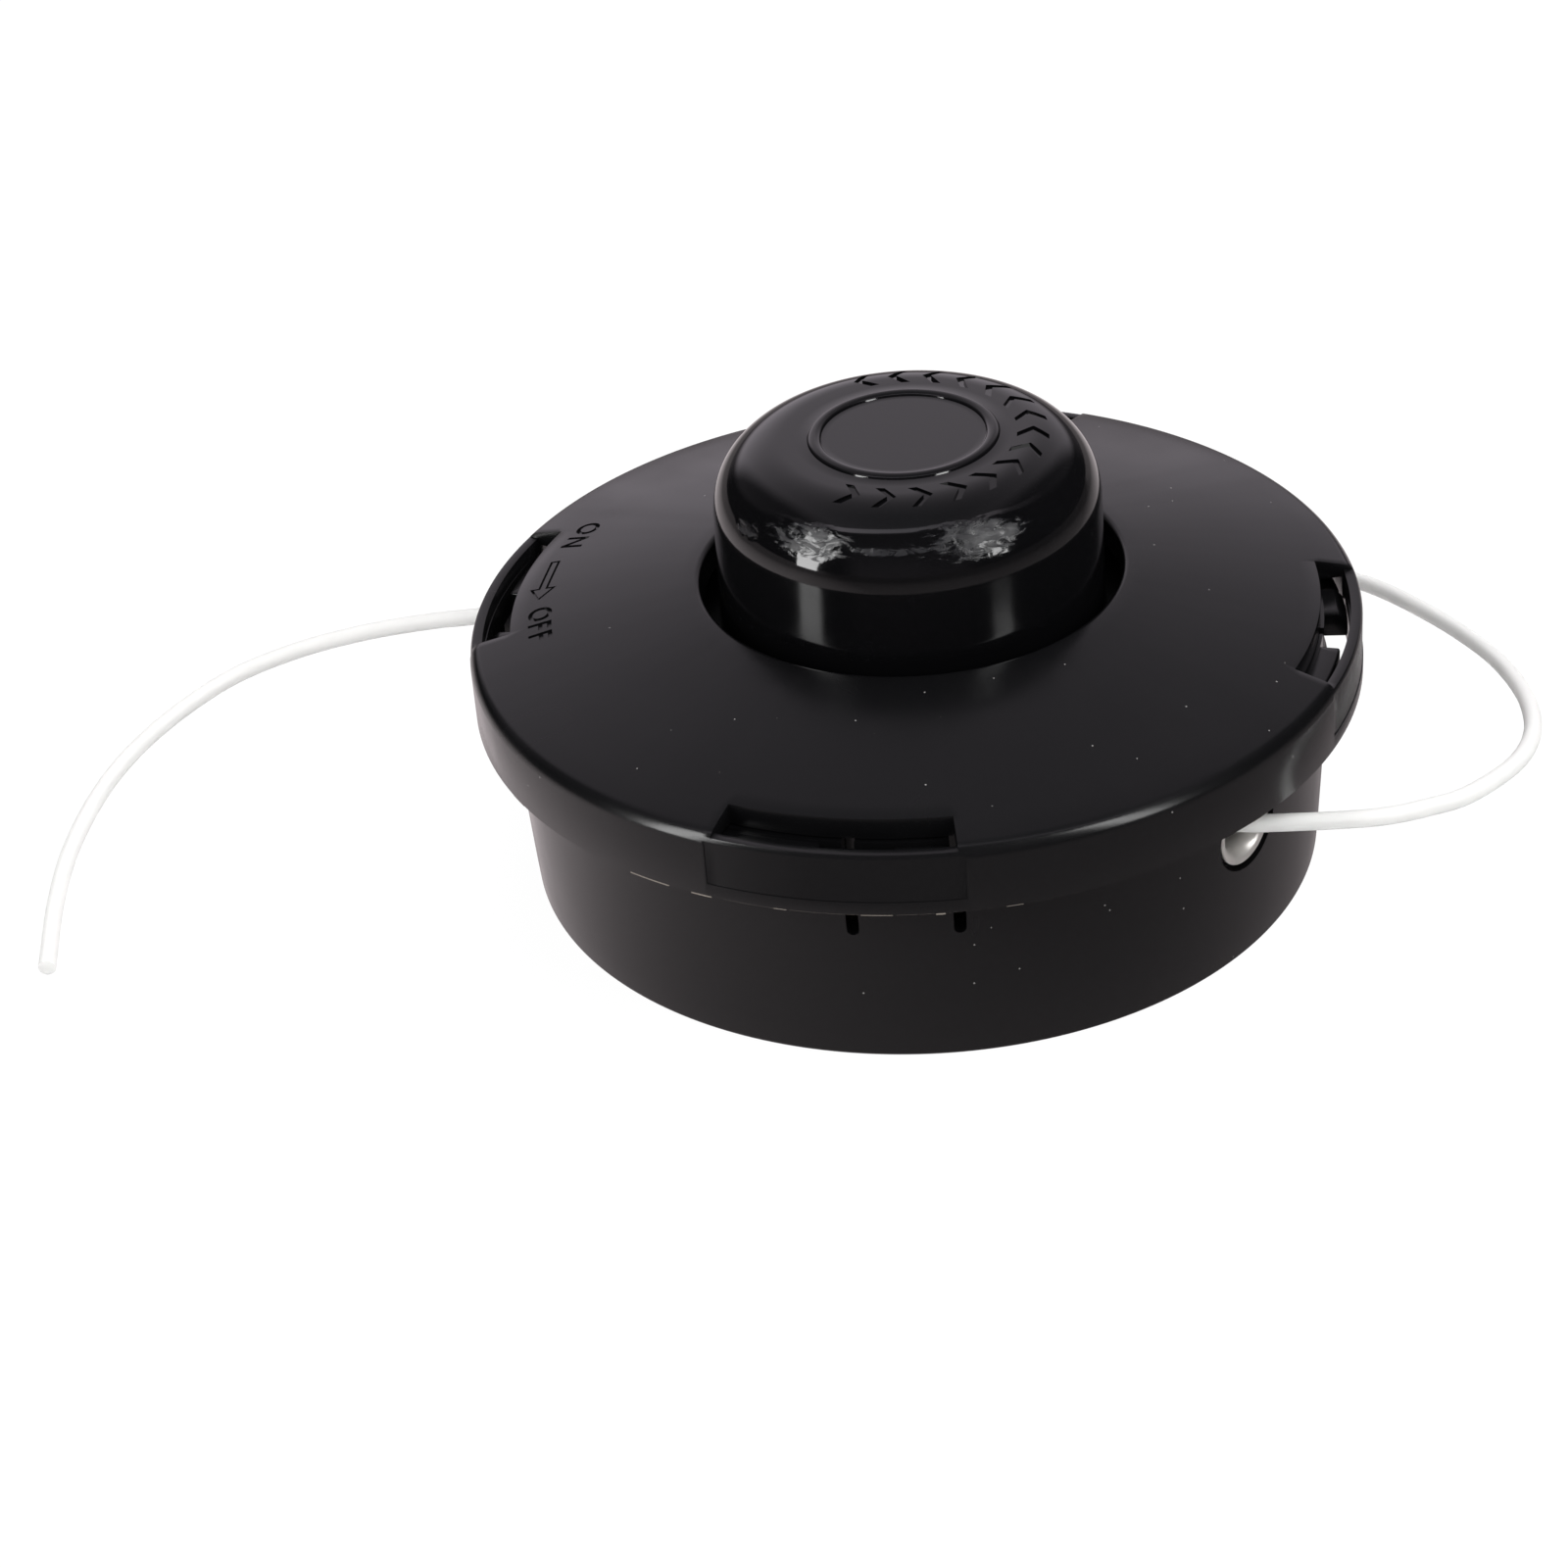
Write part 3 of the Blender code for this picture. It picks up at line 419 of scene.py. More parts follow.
lug_section = block(
    COVER_LUG_INNER, SKIRT_INNER + ROOTED, SKIRT_BOTTOM + LUG_LIFT, LUG_BOTTOM - LUG_GAP
)
stop_top = dome_z(TOOTH_RING[1]) - COVER_WALL + ROOTED
stop_section = block(*TOOTH_RING, FLANGE_TOP + TOOTH_GAP, stop_top)
lugs, stops = [], []
for middle in QUARTERS:
    lugs.append(wedge("lug", lug_section, middle + COVER_LUG[0], middle + COVER_LUG[1], 9))
    stops.append(wedge("stop", stop_section, middle + STOP[0], middle + STOP[1], 4))
combine(cover, "UNION", lugs + stops)
soften(cover, COVER_EDGE)
report(cover)

# %% [markdown]
# Where the two halves of the mould met, a little plastic squeezed out and left a thin flash along
# the skirt's lower edge. Most of it has broken off, and the slivers that are left look pale. Each
# is a narrow strip that hangs from the edge, spun from a small section over a few degrees. A
# table gives their uneven places, lengths and depths.

# %% Cover: slivers of flash
FLASH = [  # from, to, in degrees, and how far it hangs down, in millimetres
    (-141.5, -138.5, 0.14), (-117.2, -111.4, 0.20), (-108.2, -105.5, 0.22), (-103.8, -97.5, 0.04),
    (-97.4, -95.8, 0.12), (-95.5, -87.0, 0.04), (-86.8, -83.0, 0.12), (-82.5, -78.2, 0.04),
    (-77.9, -76.8, 0.22), (-76.4, -70.5, 0.03), (-69.5, -67.5, 0.10), (-67.0, -59.0, 0.03),
    (-35.0, -33.0, 0.10), (24.0, 31.0, 0.10), (63.0, 66.0, 0.14), (112.0, 121.0, 0.10),
    (150.0, 152.5, 0.14), (171.0, 176.0, 0.10), (205.0, 209.0, 0.12),
]
slivers = []
for start, end, hang in FLASH:
    section = [
        (COVER_RADIUS - 0.30, SKIRT_BOTTOM + 0.3),
        (COVER_RADIUS - 0.20, SKIRT_BOTTOM - hang),
        (COVER_RADIUS - 0.04, SKIRT_BOTTOM - hang),
        (COVER_RADIUS - 0.01, SKIRT_BOTTOM + 0.12),
    ]
    slivers.append(wedge("sliver", section, start, end, max(2, round(end - start))))
flash = joined(slivers, "cover_flash")
shade(flash)
report(flash)

# %% [markdown]
# Beside the left window the cover is marked ON and OFF with an arrow between them, in thin sunk
# letters that show which way it twists. Letters could be a bump in the material, but real ones
# have walls that catch the light. Each is a text object turned to a flat mesh, laid on the dome
# with a Shrinkwrap, thickened and cut out.

# %% Cover: sunk marks
MARK_DEPTH = 0.35
CAPITAL_SHARE = 0.7  # height of a capital over the size of the letters
STROKE_GROWTH = 0.11  # how much fatter each stroke is, to either side


def flat_mark(name, corners):
    """A flat face with a given outline in the XY plane."""
    mark = draw(name, [(x, y, 0) for x, y in corners])
    bpy.ops.mesh.edge_face_add()
    bpy.ops.object.mode_set(mode="OBJECT")
    return mark


def letter(text, height):
    """One letter as a flat mesh, upright along +Y, with its middle at the origin."""
    deselect()
    bpy.ops.object.text_add()
    word = bpy.context.object
    word.data.body = text
    word.data.size = height / CAPITAL_SHARE * MM
    word.data.align_x = "CENTER"
    word.data.align_y = "CENTER"
    word.data.resolution_u = 6
    word.data.offset = STROKE_GROWTH * MM
    bpy.ops.object.convert(target="MESH")
    mark = bpy.context.object
    bpy.ops.object.mode_set(mode="EDIT")
    bpy.ops.mesh.select_all(action="SELECT")
    bpy.ops.mesh.remove_doubles(threshold=0.001 * MM)
    bpy.ops.object.mode_set(mode="OBJECT")
    return mark


def round_the_axis(mark, radius, degrees, height, turn=90):
    """Stands a flat mark at a radius, with its top towards the axis."""
    return turned_to(
        mark,
        Matrix.Rotation(math.radians(degrees), 4, "Z")
        @ Matrix.Translation((radius * MM, 0, height * MM))
        @ Matrix.Rotation(math.radians(turn), 4, "Z"),
    )


def sink(piece, marks, depth):
    """Cuts flat marks that hover over a piece into its surface."""
    mark = joined(marks, "marks")
    apply_modifier(
        mark,
        "SHRINKWRAP",
        target=piece,
        wrap_method="PROJECT",
        use_project_z=True,
        use_negative_direction=True,
        use_positive_direction=False,
    )
    apply_modifier(mark, "SOLIDIFY", thickness=2 * depth * MM, offset=0)
    apply_modifier(piece, "BOOLEAN", object=mark, operation="DIFFERENCE", solver="EXACT")
    bpy.data.objects.remove(mark)


ABOVE_COVER = 50.0  # the marks hover here before they are laid on the dome
LETTERS = (("O", 164.3), ("N", 168.9), ("O", 191.7), ("F", 195.3), ("F", 198.3))  # angles
LETTER_HEIGHT, LETTER_RADIUS = 3.1, 50.4
ARROW_RADIUS, ARROW_ANGLE = 50.6, 181.0
ARROW_PLATE, ARROW_SPLIT = 0.4, 0.15  # its thickness for a while, and where its top is kept

marks = []
for text, degrees in LETTERS:
    marks.append(round_the_axis(letter(text, LETTER_HEIGHT), LETTER_RADIUS, degrees, ABOVE_COVER))
arrow = [(-5.3, 0.7), (2.2, 0.7), (2.2, 1.9), (5.6, 0), (2.2, -1.9), (2.2, -0.7), (-5.3, -0.7)]
hollow = [(-4.9, 0.35), (2.55, 0.35), (2.55, 1.3), (4.9, 0)]
hollow += [(2.55, -1.3), (2.55, -0.35), (-4.9, -0.35)]
outline = flat_mark("arrow", arrow)
apply_modifier(outline, "SOLIDIFY", thickness=ARROW_PLATE * MM, offset=0)
combine(outline, "DIFFERENCE", [prism("arrow_core", hollow, -0.5, 0.5)])
only(outline)
bpy.ops.object.mode_set(mode="EDIT")
bpy.ops.mesh.select_all(action="SELECT")
bpy.ops.mesh.bisect(plane_co=(0, 0, ARROW_SPLIT * MM), plane_no=(0, 0, 1), clear_inner=True)
bpy.ops.object.mode_set(mode="OBJECT")
marks.append(round_the_axis(outline, ARROW_RADIUS, ARROW_ANGLE, ABOVE_COVER))
for mark in marks:
    report(mark)
sink(cover, marks, MARK_DEPTH)
shade(cover)
report(cover)

# %% [markdown]
# The bump knob is a glossy black cap. Its section has the raised ring on top, a big round
# shoulder and a nearly straight side. It is hollow below, where it snaps on to the spool's neck.

# %% Knob: the cap
KNOB_RADIUS, KNOB_FLARE, KNOB_TOP, KNOB_SHOULDER = 25.75, 0.25, 61.2, 9.6
KNOB_BOTTOM, NECK_RADIUS, NECK_TOP, ROOM, KNOB_WALL = 33.5, 22.55, 44.0, 0.3, 2.9
BEAD_RADIUS, BEAD_HEIGHT = 11.75, 0.5
BEAD_SINK, BEAD_ROUND = 0.35, 1.0  # the arc that the bead is squeezed from
SNAP_STEP = 1.3
NIB_LOW, NIB_HIGH, NIB_DEPTH, NIB_SLOPE = 36.1, 38.5, 1.5, 1.2
KNOB_NIB = (32, 58)  # from and to, in degrees from a window's middle
KNOB_EDGE = 0.2
side_top = KNOB_TOP - KNOB_SHOULDER
shoulder = arc(KNOB_RADIUS - KNOB_SHOULDER, side_top, KNOB_SHOULDER, 0, 90, 30)
bead = arc(BEAD_RADIUS, KNOB_TOP - BEAD_SINK, BEAD_ROUND, 20.5, 159.5, 12)
squeeze = BEAD_ROUND - BEAD_SINK
bead = [(r, KNOB_TOP + (z - KNOB_TOP) * BEAD_HEIGHT / squeeze) for r, z in bead]
inside = NECK_RADIUS + ROOM
seat = inside - SNAP_STEP
hollow_round = KNOB_SHOULDER - KNOB_WALL
side = []
for i in range(6):
    outwards = KNOB_FLARE * (1 - i / 6)
    side.append((KNOB_RADIUS + outwards, KNOB_BOTTOM + (side_top - KNOB_BOTTOM) * i / 6))
cap = (
    [(0, KNOB_TOP - KNOB_WALL)]
    + arc(seat - hollow_round, side_top, hollow_round, 90, 0, 8)
    + [(seat, NECK_TOP + ROOM), (inside, NECK_TOP + ROOM), (inside, KNOB_BOTTOM)]
    + side
    + shoulder
    + [(14.4, KNOB_TOP)]
    + bead
    + [(10.0, KNOB_TOP), (6.0, KNOB_TOP), (2.0, KNOB_TOP), (0, KNOB_TOP)]
)
knob = spun("glossy_knob", cap, 220)
nib_section = [
    (NECK_RADIUS - NIB_DEPTH, NIB_HIGH),
    (NECK_RADIUS - NIB_DEPTH, NIB_LOW + NIB_SLOPE),
    (inside, NIB_LOW),
    (inside + ROOTED, NIB_LOW),
    (inside + ROOTED, NIB_HIGH),
]
nibs = in_each_quarter("nib", nib_section, *KNOB_NIB, 8)
combine(knob, "UNION", nibs)
soften(knob, KNOB_EDGE)
report(knob)

# %% [markdown]
# A band of sunk marks runs three fifths of the way round the knob's top. Plain chevrons stand
# here that all point the same way round. A loop draws the one outline at each place, so every
# chevron has a mesh of its own, and all are sunk together.

# %% Knob: band of chevrons
CHEVRONS, CHEVRON_DEPTH = 15, 0.3
ABOVE_KNOB = 70.0
BAND_FROM, BAND_TO, BAND_RADIUS = -104.0, 118.0, 17.0
chevron = [(-1.5, 2.1), (-0.3, 2.1), (1.5, 0.0), (-0.3, -2.1), (-1.5, -2.1), (0.3, 0.0)]
marks = []
for i in range(CHEVRONS):
    degrees = BAND_FROM + (BAND_TO - BAND_FROM) * i / (CHEVRONS - 1)
    mark = flat_mark("chevron", chevron)
    marks.append(round_the_axis(mark, BAND_RADIUS, degrees, ABOVE_KNOB))
sink(knob, marks, CHEVRON_DEPTH)
shade(knob)
report(knob)

# %% [markdown]
# The knob has been knocked on hard ground, and the front of its shoulder is scuffed: the plastic
# is crinkled and smeared there. Real dents are in the shape, so a vertex group marks the worn
# patch and a Displace modifier pushes its points in and out by a tenth of a millimetre or two,
# with a clouds texture whose grain is a few millimetres.

# %% Knob: scuffs
SCUFFS = [  # middle in degrees and height, then half widths in millimetres
    (-112.0, 57.2, 7.2, 2.3),
    (-58.0, 57.2, 9.0, 2.5),
    (-84.0, 57.0, 7.5, 0.6),
    (-136.0, 55.8, 3.0, 1.3),
]
FRONT = 12  # a scuff reaches only what lies this far out on its own side of the axis
CRINKLE_GRAIN, CRINKLE_HEIGHT = 3.4, 0.2
DENT_GAIN, DULL_GAIN = 2, 2.2  # how soon, from a scuff's edge inwards, each is at its full


def worn(place):
    """How worn the knob is at a point in metres: 0 whole, 1 in the middle of a scuff."""
    x, y, z = (c / MM for c in place)
    most = 0.0
    for degrees, height, wide, high in SCUFFS:
        middle = Vector((math.cos(math.radians(degrees)), math.sin(math.radians(degrees))))
        across = middle.x * y - middle.y * x
        if middle.x * x + middle.y * y > FRONT:
            far = math.hypot(across / wide, (z - height) / high)
            most = max(most, 1 - far)
    return max(most, 0.0)


only(knob)
bpy.ops.object.mode_set(mode="EDIT")
bpy.ops.mesh.select_all(action="DESELECT")
bpy.ops.object.mode_set(mode="OBJECT")
for face in knob.data.polygons:
    face.select = worn(face.center) > 0
bpy.ops.object.mode_set(mode="EDIT")
bpy.ops.mesh.subdivide(number_cuts=2)
bpy.ops.object.mode_set(mode="OBJECT")
group = knob.vertex_groups.new(name="worn")
for vertex in knob.data.vertices:
    amount = worn(vertex.co)
    if amount > 0:
        group.add([vertex.index], min(1.0, DENT_GAIN * amount), "REPLACE")
clouds = bpy.data.textures.new("crinkle", "CLOUDS")
clouds.noise_type = "HARD_NOISE"
clouds.noise_scale = CRINKLE_GRAIN * MM
clouds.noise_depth = 3
apply_modifier(
    knob,
    "DISPLACE",
    texture=clouds,
    texture_coords="LOCAL",
    strength=CRINKLE_HEIGHT * MM,
    mid_level=0.5,
    vertex_group="worn",
)
wear = knob.data.attributes.new("wear", "FLOAT", "POINT")
for value, vertex in zip(wear.data, knob.data.vertices):
    value.value = min(1.0, DULL_GAIN * worn(vertex.co))
shade(knob)
report(knob)

# %% [markdown]
# The cup carries everything else. Its section has the flat ring that it stands on, the wall that
# narrows slightly towards the base, the step under the skirt and the post in the middle.

# %% Cup: the section
STEP_Z, RIM_RADIUS, RIM_INNER, RIM_TOP = 25.4, 54.8, 52.6, 33.3
HOUSING_RADIUS, BASE_RADIUS, FLOOR_TOP, FOOT_TOP, POST_TOP = 55.5, 54.0, 3.0, 14.0, 34.5
WALL_TAPER, STEP_HEIGHT, INNER_DRAFT = 1.5, 0.7, 0.9
CORNER, FLOOR_ROUND = 0.6, 1.5
ARBOR_RADIUS, ARBOR_TOP = 5.4, 23.0  # the hole for the shaft, from below
FOOT_RADIUS, POST_RADIUS, POST_BORE, POST_FLOOR = 13.0, 10.5, 6.5, 27.0
floor_radius = RIM_INNER - INNER_DRAFT
cup_section = (
    [(0, ARBOR_TOP), (ARBOR_RADIUS, ARBOR_TOP), (ARBOR_RADIUS, 0)]
    + arc(BASE_RADIUS - CORNER, CORNER, CORNER, -90, 0, 6)
    + [(BASE_RADIUS + WALL_TAPER * z / STEP_Z, z) for z in (4, 8, 12, 16, 20)]
    + [(HOUSING_RADIUS, STEP_Z), (RIM_RADIUS, STEP_Z + STEP_HEIGHT), (RIM_RADIUS, RIM_TOP)]
    + [(RIM_INNER, RIM_TOP)]
    + arc(floor_radius - FLOOR_ROUND, FLOOR_TOP + FLOOR_ROUND, FLOOR_ROUND, 0, -90, 6)
    + [(FOOT_RADIUS, FLOOR_TOP), (FOOT_RADIUS, FOOT_TOP - CORNER)]
    + [(FOOT_RADIUS - CORNER, FOOT_TOP), (POST_RADIUS, FOOT_TOP)]
    + [(POST_RADIUS, POST_TOP - CORNER), (POST_RADIUS - CORNER, POST_TOP)]
    + [(POST_BORE, POST_TOP), (POST_BORE, POST_FLOOR), (0, POST_FLOOR)]
)
cup = spun("moulded_cup", cup_section, ROUND_STEPS)
report(cup)

# %% [markdown]
# Lugs with soft edges stand out of the rim under each window, and beside each lug is a springy
# tongue between two slots. The lugs get their round edges before they are added. The eyelets sit
# in stepped bores through the wall, backed by a boss inside.

# %% Cup: lugs, stops, bosses and cuts
EYELET_ANGLES = (-30, 150)
EYELET_Z = 20.2
EYELET_RECESS, EYELET_BORE = 5.75, 4.7
RECESS_DEPTH = 2.0
# Each of these runs from and to an angle, in degrees from a window's middle
CUP_LUG, NIB, SHELF, LEG = (-16.6, -2.4), (7.2, 14.2), (16.6, 28.0), (-16.3, -14.9)
SLOT_ANGLES, SLOT_RADIUS, SLOT_LENGTH = (1.2, 15.2), 0.8, 15.0
SLOT_Z = 20.4  # middle of the round lower end
POCKETS, RIB, POCKET_RING, POCKET_DEPTH = 10, 2.4, (19.0, 47.5), 1.3
INSERT_FLATS, INSERT_POCKET_TOP, INSERT_ROOM = 17.0, 12.8, 0.6
CUP_LUG_REACH, CUP_LUG_TOP, CUP_LUG_EDGE = 57.35, 33.0, 0.35
SHARP = 0.6  # edges of a lug or nib that turn by more than this, in radians, are rounded
NIB_REACH, LEG_REACH = 58.0, 57.05
BOSS_RADIUS, BOSS_FROM, BOSS_TO, BORE_FROM = 6.7, 50.0, 53.2, 49.0
FLOOR_STOP = (2.4, 6.0)  # from inside the floor to its top
SLOT_FROM, SLOT_DEPTH = 50.7, 10


def radial(degrees, distance, height):
    """Stands a piece's +Z outwards along a radius."""
    return (
        Matrix.Rotation(math.radians(degrees), 4, "Z")
        @ Matrix.Translation((distance * MM, 0, height * MM))
        @ Matrix.Rotation(math.radians(90), 4, "Y")
    )


root = RIM_RADIUS - ROOTED  # everything on the rim starts inside its wall
lug_section = block(root, CUP_LUG_REACH, LUG_BOTTOM, CUP_LUG_TOP)
nib_section = [(root, 29.0), (NIB_REACH, 29.0), (NIB_REACH, 31.4), (56.8, 32.6), (root, 32.6)]
shelf_section = block(root, NIB_REACH, 29.4, 30.6)
leg_section = block(root, LEG_REACH, 26.4, 29.6)
lugs, legs = [], []
for middle in QUARTERS:
    lug = wedge("lug", lug_section, middle + CUP_LUG[0], middle + CUP_LUG[1], 9)
    nib = wedge("nib", nib_section, middle + NIB[0], middle + NIB[1], 5)
    shelf = wedge("shelf", shelf_section, middle + SHELF[0], middle + SHELF[1], 8)
    leg = wedge("leg", leg_section, middle + LEG[0], middle + LEG[1], 2)
    for soft in (lug, nib):
        apply_modifier(
            soft,
            "BEVEL",
            width=CUP_LUG_EDGE * MM,
            segments=3,
            limit_method="ANGLE",
            angle_limit=SHARP,
        )
    lugs += [lug, nib]
    legs += [leg, shelf]
combine(cup, "UNION", lugs)
combine(cup, "UNION", legs)

boss_section = [(0, BOSS_FROM), (BOSS_RADIUS, BOSS_FROM), (BOSS_RADIUS, BOSS_TO), (0, BOSS_TO)]
bosses = []
for angle in EYELET_ANGLES:
    boss = spun("boss", boss_section, 48)
    bosses.append(turned_to(boss, radial(angle, 0, EYELET_Z)))
floor_stop = block(*TOOTH_RING, *FLOOR_STOP)
blocks = in_each_quarter("floor_stop", floor_stop, *STOP, 3)
combine(cup, "UNION", bosses + blocks)

slot = [(-SLOT_LENGTH, SLOT_RADIUS)]
for i in range(11):
    t = math.pi * i / 10
    slot.append((math.sin(t) * SLOT_RADIUS, math.cos(t) * SLOT_RADIUS))
slot.append((-SLOT_LENGTH, -SLOT_RADIUS))
cuts = []
for middle in QUARTERS:
    for side in SLOT_ANGLES:
        cutter = prism("slot", slot, 0, SLOT_DEPTH)
        cuts.append(turned_to(cutter, radial(middle + side, SLOT_FROM, SLOT_Z)))
outside = BASE_RADIUS + WALL_TAPER * EYELET_Z / STEP_Z  # radius of the cup at the eyelets
seat_section = [
    (0, BORE_FROM),
    (EYELET_BORE, BORE_FROM),
    (EYELET_BORE, outside - RECESS_DEPTH),
    (EYELET_RECESS, outside - RECESS_DEPTH),
    (EYELET_RECESS, outside + OVERRUN),
    (0, outside + OVERRUN),
]
for angle in EYELET_ANGLES:
    cuts.append(turned_to(spun("eyelet_seat", seat_section, 64), radial(angle, 0, EYELET_Z)))
half_way = sum(POCKET_RING) / 2
pitch, rib = 360 / POCKETS, math.degrees(RIB / half_way)  # the ribs' width half way out
pocket = block(*POCKET_RING, -OVERRUN, POCKET_DEPTH)
for i in range(POCKETS):
    cuts.append(wedge("pocket", pocket, pitch * i + rib / 2, pitch * (i + 1) - rib / 2, 10))
insert_seat = hexagon(INSERT_FLATS + INSERT_ROOM)
cuts.append(prism("insert_pocket", insert_seat, -OVERRUN, INSERT_POCKET_TOP))
combine(cup, "DIFFERENCE", cuts)
shade(cup)
report(cup)

# %% [markdown]
# Each eyelet is a plated steel sleeve with a rolled rim and a bell mouth, which spares the line.
# It is spun about its own axis, and then stood in the wall.

# %% Eyelets
eyelets = []
rim_back = outside - RECESS_DEPTH + 0.3
rim_middle = rim_back + 0.65
bell = [math.radians(90 * i / 16) for i in range(1, 17)]
sleeve = (
    [(3.0, 50.0), (4.4, 50.0), (4.4, rim_back), (4.95, rim_back)]
    + arc(4.83, rim_middle + 0.25, 0.22, -20, 110, 8)
    + [(4.75 - 1.75 * math.sin(t), rim_middle - 2.65 + 3.1 * math.cos(t)) for t in bell]
)
for end, angle in zip("ab", EYELET_ANGLES):
    eyelet = spun(f"steel_eyelet_{end}", sleeve, 72)
    turned_to(eyelet, radial(angle, 0, EYELET_Z))
    shade(eyelet, 50)
    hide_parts(f"eyelet_{end}")
    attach(eyelet, "housing")
    eyelets.append(eyelet)
    report(eyelet)

# %% [markdown]
# The arbor insert is a hexagonal steel bar with a left-hand M10 x 1.25 thread, which the gearbox
# shaft screws into. It is turned on the real object: the ends of the bar are chamfered and the
# bore is tapped. A tap is made here too. One tooth is drawn and a Screw modifier winds it up
# the axis, clockwise as it climbs, and the tap is cut from the bar.

# %% Threaded insert
PITCH, THREAD_MINOR, THREAD_MAJOR = 1.25, 4.4, 5.0
CHAMFER_INNER, CHAMFER_OUTER, CHAMFER_DEPTH = 8.6, 10.0, 0.8
insert_low, insert_high = (corner[2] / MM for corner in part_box("arbor_insert"))
insert = prism("threaded_insert", hexagon(INSERT_FLATS), insert_low, insert_high)
chamfered = [
    (0, insert_low),
    (CHAMFER_INNER, insert_low),
    (CHAMFER_OUTER, insert_low + CHAMFER_DEPTH),
    (CHAMFER_OUTER, insert_high - CHAMFER_DEPTH),
    (CHAMFER_INNER, insert_high),
    (0, insert_high),
]
combine(insert, "INTERSECT", [spun("chamfer", chamfered, 96)])
tooth = [(THREAD_MINOR, 0), (THREAD_MAJOR, 0.52), (THREAD_MAJOR, 0.73), (THREAD_MINOR, PITCH)]
tap = draw("tap", [(r, 0, insert_low - 2 * PITCH + z) for r, z in tooth], closed=False)
bpy.ops.object.mode_set(mode="OBJECT")
apply_modifier(
    tap,
    "SCREW",
    angle=-math.tau,
    screw_offset=PITCH * MM,
    iterations=14,
    steps=48,
    render_steps=48,
    use_merge_vertices=True,
    merge_threshold=0.001 * MM,
)
bpy.ops.object.mode_set(mode="EDIT")
bpy.ops.mesh.select_all(action="SELECT")
bpy.ops.mesh.fill_holes(sides=0)
tidy_shell()
combine(insert, "DIFFERENCE", [tap])
mouth = [
    (0, insert_low - OVERRUN),
    (THREAD_MAJOR + 0.2, insert_low - OVERRUN),
    (THREAD_MAJOR + 0.2, insert_low),
    (THREAD_MINOR - 0.1, insert_low + 0.9),
    (0, insert_low + 0.9),
]
combine(insert, "DIFFERENCE", [spun("mouth", mouth, 64)])
shade(insert, 30)
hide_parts("arbor_insert")
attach(insert, "housing")
report(insert)

# %% [markdown]
# The line still on the spool is one roll. Its outside is drawn turn by turn, so that the rows of
# line show where one looks in.

# %% Roll of line
LINE_LAYERS = 4
roll_low, roll_high = (corner[2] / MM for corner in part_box("wound_line"))
roll_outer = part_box("wound_line")[1][0] / MM
roll_inner = roll_outer - LINE_LAYERS * LINE_DIAMETER
turn_radius = LINE_DIAMETER / 2
roll_section = [(roll_inner, roll_low), (roll_outer - turn_radius, roll_low)]
for row in range(round((roll_high - roll_low) / LINE_DIAMETER)):
    middle = roll_low + (row + 0.5) * LINE_DIAMETER
    roll_section += arc(roll_outer - turn_radius, middle, turn_radius, -78, 78, 10)
roll_section += [(roll_outer - turn_radius, roll_high), (roll_inner, roll_high)]
roll = spun("wound_turns", roll_section, 120)
shade(roll, 50)
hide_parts("wound_line")
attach(roll, "spool")
report(roll)

# %% [markdown]
# The spring is wound from drawn wire, with one closed coil at each end and four open ones
# between. It is a bar along a rising circle, like the cords, and rides on the spring carrier.

# %% Coil spring
SPRING_WIRE, OPEN_COILS, CLOSED_RISE, BUMP_TRAVEL = 1.8, 4, 1.9, 5.0
STEPS_A_COIL = 48
spring_low, spring_high = (corner[2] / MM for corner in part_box("return_spring"))
spring_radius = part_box("return_spring")[1][0] / MM - SPRING_WIRE / 2
first, last = spring_low + SPRING_WIRE / 2, spring_high - SPRING_WIRE / 2
open_rise = (last - first - 2 * CLOSED_RISE) / OPEN_COILS
coil = []
for i in range(STEPS_A_COIL * (OPEN_COILS + 2) + 1):
    turn = i / STEPS_A_COIL
    opened = min(max(turn - 1, 0), OPEN_COILS)
    height = first + CLOSED_RISE * (turn - opened) + open_rise * opened
    angle = math.tau * turn
    coil.append((spring_radius * math.cos(angle), spring_radius * math.sin(angle), height))
spring = round_bar("coil_spring", coil, SPRING_WIRE)
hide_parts("return_spring")
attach(spring, "spring_carrier")
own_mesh(spring)
report(spring)

# %% [markdown]
# A finished piece still has to move with the object. Each moulded piece says which plain solid it
# takes the place of, which body it rides on, and which finish it has. The flash takes the place of
# nothing, and rides on the cover.

# %% Hand the moulded pieces to the frame
for piece, node, body, slot in (
    (cover, "cover", "cover", "casing"),
    (cup, "housing", "housing", "casing"),
    (knob, "bump_knob", "spool", "knob"),
):
    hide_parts(node)
    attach(piece, body)
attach(flash, "cover")

# %% [markdown]
# Materials are node trees. Colours are written as sRGB hex values, the way a paint program shows
# them, and turned to the linear values that the shader wants. One small function adds a node.

# %% Colours and nodes


def colour(code):
    """An sRGB hex colour as linear RGBA."""
    parts = [int(code[i : i + 2], 16) / 255 for i in (1, 3, 5)]
    linear = [p / 12.92 if p <= 0.04045 else ((p + 0.055) / 1.055) ** 2.4 for p in parts]
    return (*linear, 1.0)


def add(tree, kind, inputs=None, **settings):
    """Adds a node. An input takes a value, or a socket to link from."""
    node = tree.nodes.new(f"ShaderNode{kind}")
    for key, value in settings.items():
        setattr(node, key, value)
    for key, value in (inputs or {}).items():
        if isinstance(value, bpy.types.NodeSocket):
            tree.links.new(value, node.inputs[key])
        else:
            node.inputs[key].default_value = value
    return node


def per_mm(size):
    """The Scale of a texture whose grain is a size in millimetres."""
    return 1 / (size * MM)


